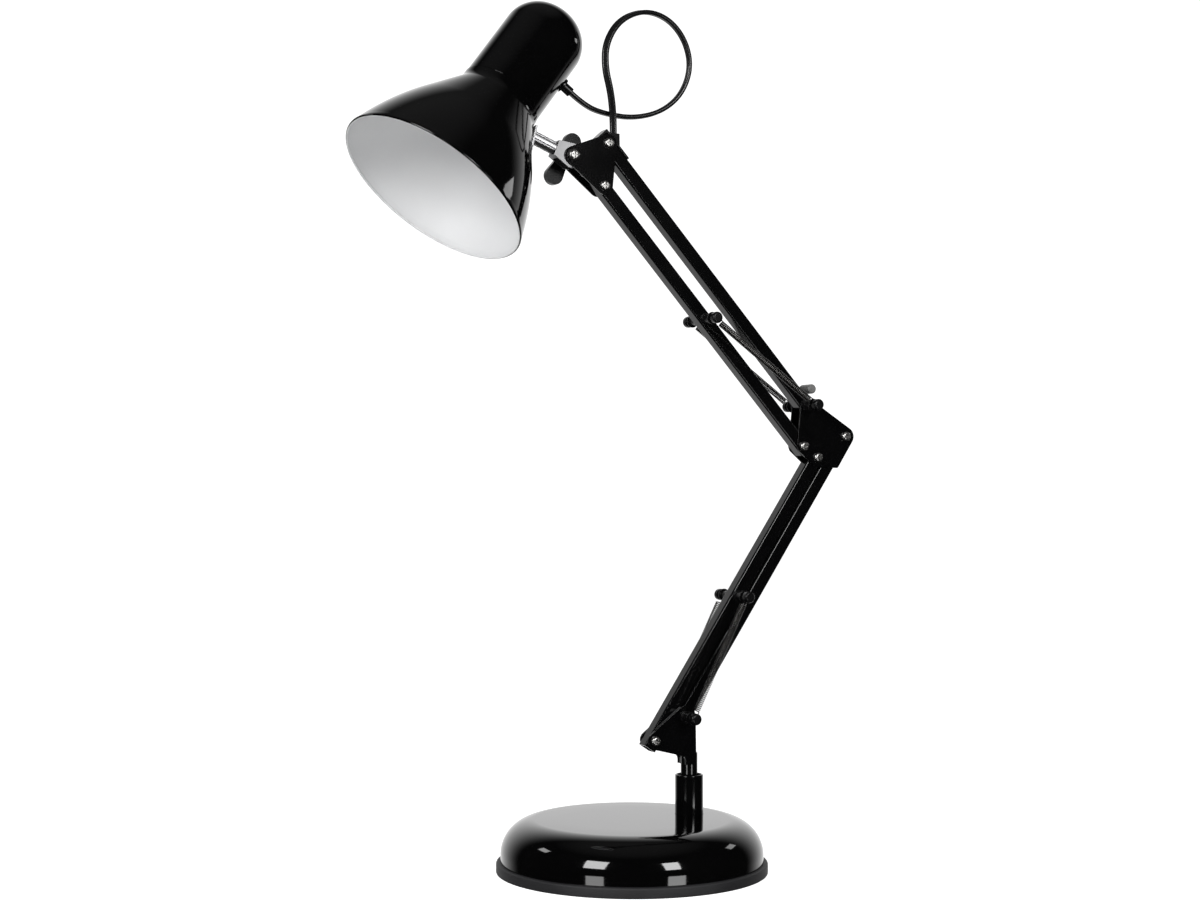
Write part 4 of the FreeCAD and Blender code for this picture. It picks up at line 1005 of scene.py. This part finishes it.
@dataclass
class CoilSprings:
    """The four close-wound springs with their hooks (mm).

    Foot is meant as the share of a spring, from its stud on the first body, that would bend with
    the arm; it is not used.
    """

    skeleton: Skeleton
    offset: float = 17.4
    wire: float = 0.45
    wire_facets: int = 8
    coil: float = 2.05
    coil_steps: int = 14
    pitch: float = 1.34
    hook: float = 2.55
    hook_straight: float = 0.6
    hook_turn: float = 255.0
    hook_steps: int = 20
    neck: float = 6.2
    foot: float = 0.30

    def build_one(self, name: str, start: Vector, end: Vector,
                  side: Side) -> None:
        """Wind one spring between two studs.

        Args:
            name: the CAD node's name; the piece's has an ending more.
            start: the middle of the stud on the first body.
            end: the middle of the stud on the second body.
            side: the side of the arm.
        """
        length = (end - start).length
        winding = length - 2 * self.neck * MM
        turns = round(winding / (self.pitch * MM))
        deselect_all()
        bpy.ops.mesh.primitive_circle_add(
            vertices=self.wire_facets, radius=self.wire * MM, fill_type="NOTHING",
            location=(self.coil * MM, 0, self.neck * MM), rotation=(math.radians(90), 0, 0))
        coil = bpy.context.object
        bpy.ops.object.transform_apply(location=True, rotation=True, scale=True)
        screw = coil.modifiers.new("winding", "SCREW")
        screw.axis = "Z"
        screw.angle = 2 * math.pi * turns
        screw.screw_offset = winding
        screw.steps = screw.render_steps = self.coil_steps * turns
        bpy.ops.object.modifier_apply(modifier="winding")
        far_end = Matrix.Translation((0, 0, length)) @ Matrix.Rotation(math.pi, 4, "X")
        hooks = [self.hook_piece(Matrix.Identity(4)), self.hook_piece(far_end)]
        deselect_all()
        for part in (*hooks, coil):
            part.select_set(True)
        bpy.context.view_layer.objects.active = coil
        bpy.ops.object.join()
        coil.name = name + "_wound"
        face_outwards(coil)
        along = (end - start).normalized()
        across = Vector((0, 1, 0))
        turn = Matrix((across.cross(along), across, along)).transposed().to_4x4()
        place = Matrix.Translation(start + across * (side.value * self.offset * MM)) @ turn
        settle(coil, place)
        smooth(coil, COIL_EDGE)
        dress(coil, SPRING_STEEL)
        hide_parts(name)
        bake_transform(coil)
        log.info("%s: %d turns over %.1f mm", name, turns, winding / MM)

    def hook_piece(self, place: Matrix) -> bpy.types.Object:
        """Bend one hook round the stud's axis and run its shank to the winding.

        Args:
            place: from the hook's own frame, with the stud at its origin.

        Returns:
            The hook.
        """
        deselect_all()
        bpy.ops.mesh.primitive_circle_add(
            vertices=self.wire_facets, radius=self.wire * MM, fill_type="NGON",
            location=(self.coil * MM, 0, self.neck * MM))
        hook = bpy.context.object
        bpy.ops.object.mode_set(mode="EDIT")
        bpy.ops.mesh.select_all(action="SELECT")
        straight = self.hook_straight
        lean = {"value": ((self.hook - self.coil) * MM, 0, -(self.neck - straight) * MM)}
        bpy.ops.mesh.extrude_region_move(TRANSFORM_OT_translate=lean)
        drop = {"value": (0, 0, -straight * MM)}
        bpy.ops.mesh.extrude_region_move(TRANSFORM_OT_translate=drop)
        bpy.ops.mesh.spin(steps=self.hook_steps, angle=math.radians(self.hook_turn),
                          center=(0, 0, 0), axis=(0, 1, 0))
        bpy.ops.object.mode_set(mode="OBJECT")
        bpy.ops.object.transform_apply(location=True, rotation=True, scale=True)
        hook.data.transform(place)
        return hook

    def build(self) -> None:
        """Wind all four springs."""
        bones = self.skeleton
        for side in Side:
            ending = "_near" if side is Side.NEAR else "_far"
            self.build_one("lower_spring" + ending, bones.lower_anchor, bones.lower_mid,
                           side)
            self.build_one("upper_spring" + ending, bones.upper_anchor, bones.upper_mid,
                           side)


# ------------------------------------------------------------------ head


@dataclass
class HeadUnit:
    """The shade, its housing, the lamp holder and the chromed knuckle (mm)."""

    skeleton: Skeleton
    mouth: float = 69.2
    length: float = 85.9
    wall: float = 0.8
    hole: float = 20.4
    lip: float = 3.0
    bead: float = 0.95
    bead_rise: float = 0.4
    bead_turn: float = 235.0
    bead_steps: int = 14
    neck: float = 29.6
    neck_edge: float = 0.4
    inner_edge: Span = (0.5, 1.2)
    fillet: float = 11.7
    fillet_steps: int = 10
    neck_height: float = 3.5
    ease: float = 16.4
    share: float = 0.87
    bell_steps: int = 40
    housing_radius: float = 29.1
    housing_straight: float = 54.4
    dome: float = 23.7
    dome_steps: int = 30
    housing_wall: float = 1.2
    housing_edge: float = 0.3
    gland_height: float = 40.0
    gland_hole: float = 4.05
    drill_depth: float = 20.0
    drill_facets: int = 40
    fitting_edge: float = 0.2
    shade_facets: int = 192
    housing_facets: int = 160
    outward: float = 0.05
    upward: float = 0.5
    top_depth: float = 2.0

    def bell(self, inset: float) -> Outline:
        """The bell's curve from its neck to its lip, moved inwards by a wall.

        Args:
            inset: how far inside the outer face.

        Returns:
            The outline from the neck down.
        """
        ease = math.radians(self.ease)
        run = self.length - self.neck_height - self.lip * math.cos(ease)
        rise = self.mouth - self.lip * math.sin(ease) - self.neck - self.fillet
        touch = ((run * run + rise * rise - self.fillet ** 2)
                 / (2 * self.fillet + 2 * rise * math.cos(ease) - 2 * run * math.sin(ease)))
        radius = self.share * touch
        cx = self.mouth - self.lip * math.sin(ease) - radius * math.cos(ease)
        cz = -(self.length - self.lip * math.cos(ease)) - radius * math.sin(ease)
        fx, fz = self.neck + self.fillet, -self.neck_height
        outer, inner = radius - inset, self.fillet + inset
        span = math.hypot(fx - cx, fz - cz)
        way = math.atan2(fz - cz, fx - cx) + math.asin((outer + inner) / span)
        normal = math.degrees(math.atan2(-math.cos(way), math.sin(way)))
        curve = arc(fx, fz, inner, 180, normal + 180, self.fillet_steps)
        curve += arc(cx, cz, outer, normal, self.ease, self.bell_steps)
        tip = (self.mouth - inset * math.cos(ease), -self.length - inset * math.sin(ease))
        return curve + [tip]

    def is_black(self, face: bpy.types.MeshPolygon) -> bool:
        """Whether a face of the upright shade is outside or on its flat top."""
        reach = Vector((face.center.x, face.center.y, 0)).normalized()
        on_top = face.normal.z > self.upward and face.center.z > -self.top_depth * MM
        return face.normal.dot(reach) > self.outward or on_top

    def shade(self) -> None:
        """Turn the shade with its beaded lip: black outside, white enamel inside."""
        outer, inner = self.bell(0.0), self.bell(self.wall)
        bx = self.mouth - self.bead * math.cos(math.radians(self.ease))
        bz = -self.length + self.bead * self.bead_rise
        bead = arc(bx, bz, self.bead, self.ease, self.ease - self.bead_turn, self.bead_steps)
        neck, edge, inside = self.neck, self.neck_edge, self.neck - self.wall
        step, drop = self.inner_edge
        outline = [(self.hole, 0.0), (neck - edge, 0.0), (neck, -edge)]
        outline += outer[:-1] + bead + list(reversed(inner[:-2]))
        outline += [(inside, -drop), (inside - step, -self.wall), (self.hole, -self.wall)]
        piece = lathe("bell_shade", outline, Matrix.Identity(4), self.shade_facets)
        piece.data.materials.append(GLOSS_ENAMEL.material())
        piece.data.materials.append(WHITE_ENAMEL.material())
        for face in piece.data.polygons:
            face.material_index = 0 if self.is_black(face) else 1
        settle(piece, self.skeleton.head_place)
        smooth(piece, TURNED_EDGE)
        add_piece(piece, "head", "gloss_black_enamel", "shade")

    def housing(self) -> None:
        """Turn the domed housing and drill the gland's hole."""
        out, wall, edge = self.housing_radius, self.housing_wall, self.housing_edge
        top, dome, steps = self.housing_straight, self.dome, self.dome_steps
        outline = [(out - wall, 0.0), (out - edge, 0.0), (out, edge)]
        outline += arc(out - dome, top, dome, 0, 90, steps) + [(0.0, top + dome)]
        outline += [(0.0, top + dome - wall)]
        outline += arc(out - dome, top, dome - wall, 90, 0, steps)
        place = self.skeleton.head_place
        piece = lathe("domed_housing", outline, place, self.housing_facets)
        deselect_all()
        bpy.ops.mesh.primitive_cylinder_add(
            vertices=self.drill_facets, radius=self.gland_hole * MM,
            depth=self.drill_depth * MM)
        drill = bpy.context.object
        spot = Matrix.Translation(Vector((out, 0, self.gland_height)) * MM)
        settle(drill, place @ (spot @ Matrix.Rotation(math.pi / 2, 4, "Y")))
        drill_hole(piece, drill)
        smooth(piece, TURNED_EDGE)
        dress(piece, GLOSS_ENAMEL)
        add_piece(piece, "head", "gloss_black_enamel", "housing")

    def build(self) -> None:
        """Make the head's pieces."""
        self.shade()
        self.housing()
        softened("knuckle_clamp", "knuckle", "knuckle_chrome", CLAMP_ZINC, self.fitting_edge)
        for node in ("stem", "neck_plate", "stem_nut"):
            softened(node, "head", "knuckle_chrome", CHROME, self.fitting_edge)
        for node, finish in (("holder_shell", BLACK_NYLON), ("shade_ring", BLACK_NYLON),
                             ("holder_thread", THREAD_METAL), ("holder_contact", CONTACT_BRASS)):
            dress_node(node, finish)
        log.info("head: shade, housing, holder and knuckle")


def main() -> None:
    """Build the lamp's looks, sub-assembly by sub-assembly."""
    scene = bpy.context.scene
    scene.view_settings.view_transform = "Standard"
    bones = Skeleton()
    studio = StudioSet()
    studio.camera()
    CordLoop().build()
    studio.floor()
    studio.world()
    studio.lamps()
    BaseUnit().build()
    PaintedParts().build()
    Fittings().build()
    CoilSprings(bones).build()
    HeadUnit(bones).build()
    deselect_all()


if __name__ == "__main__":
    main()
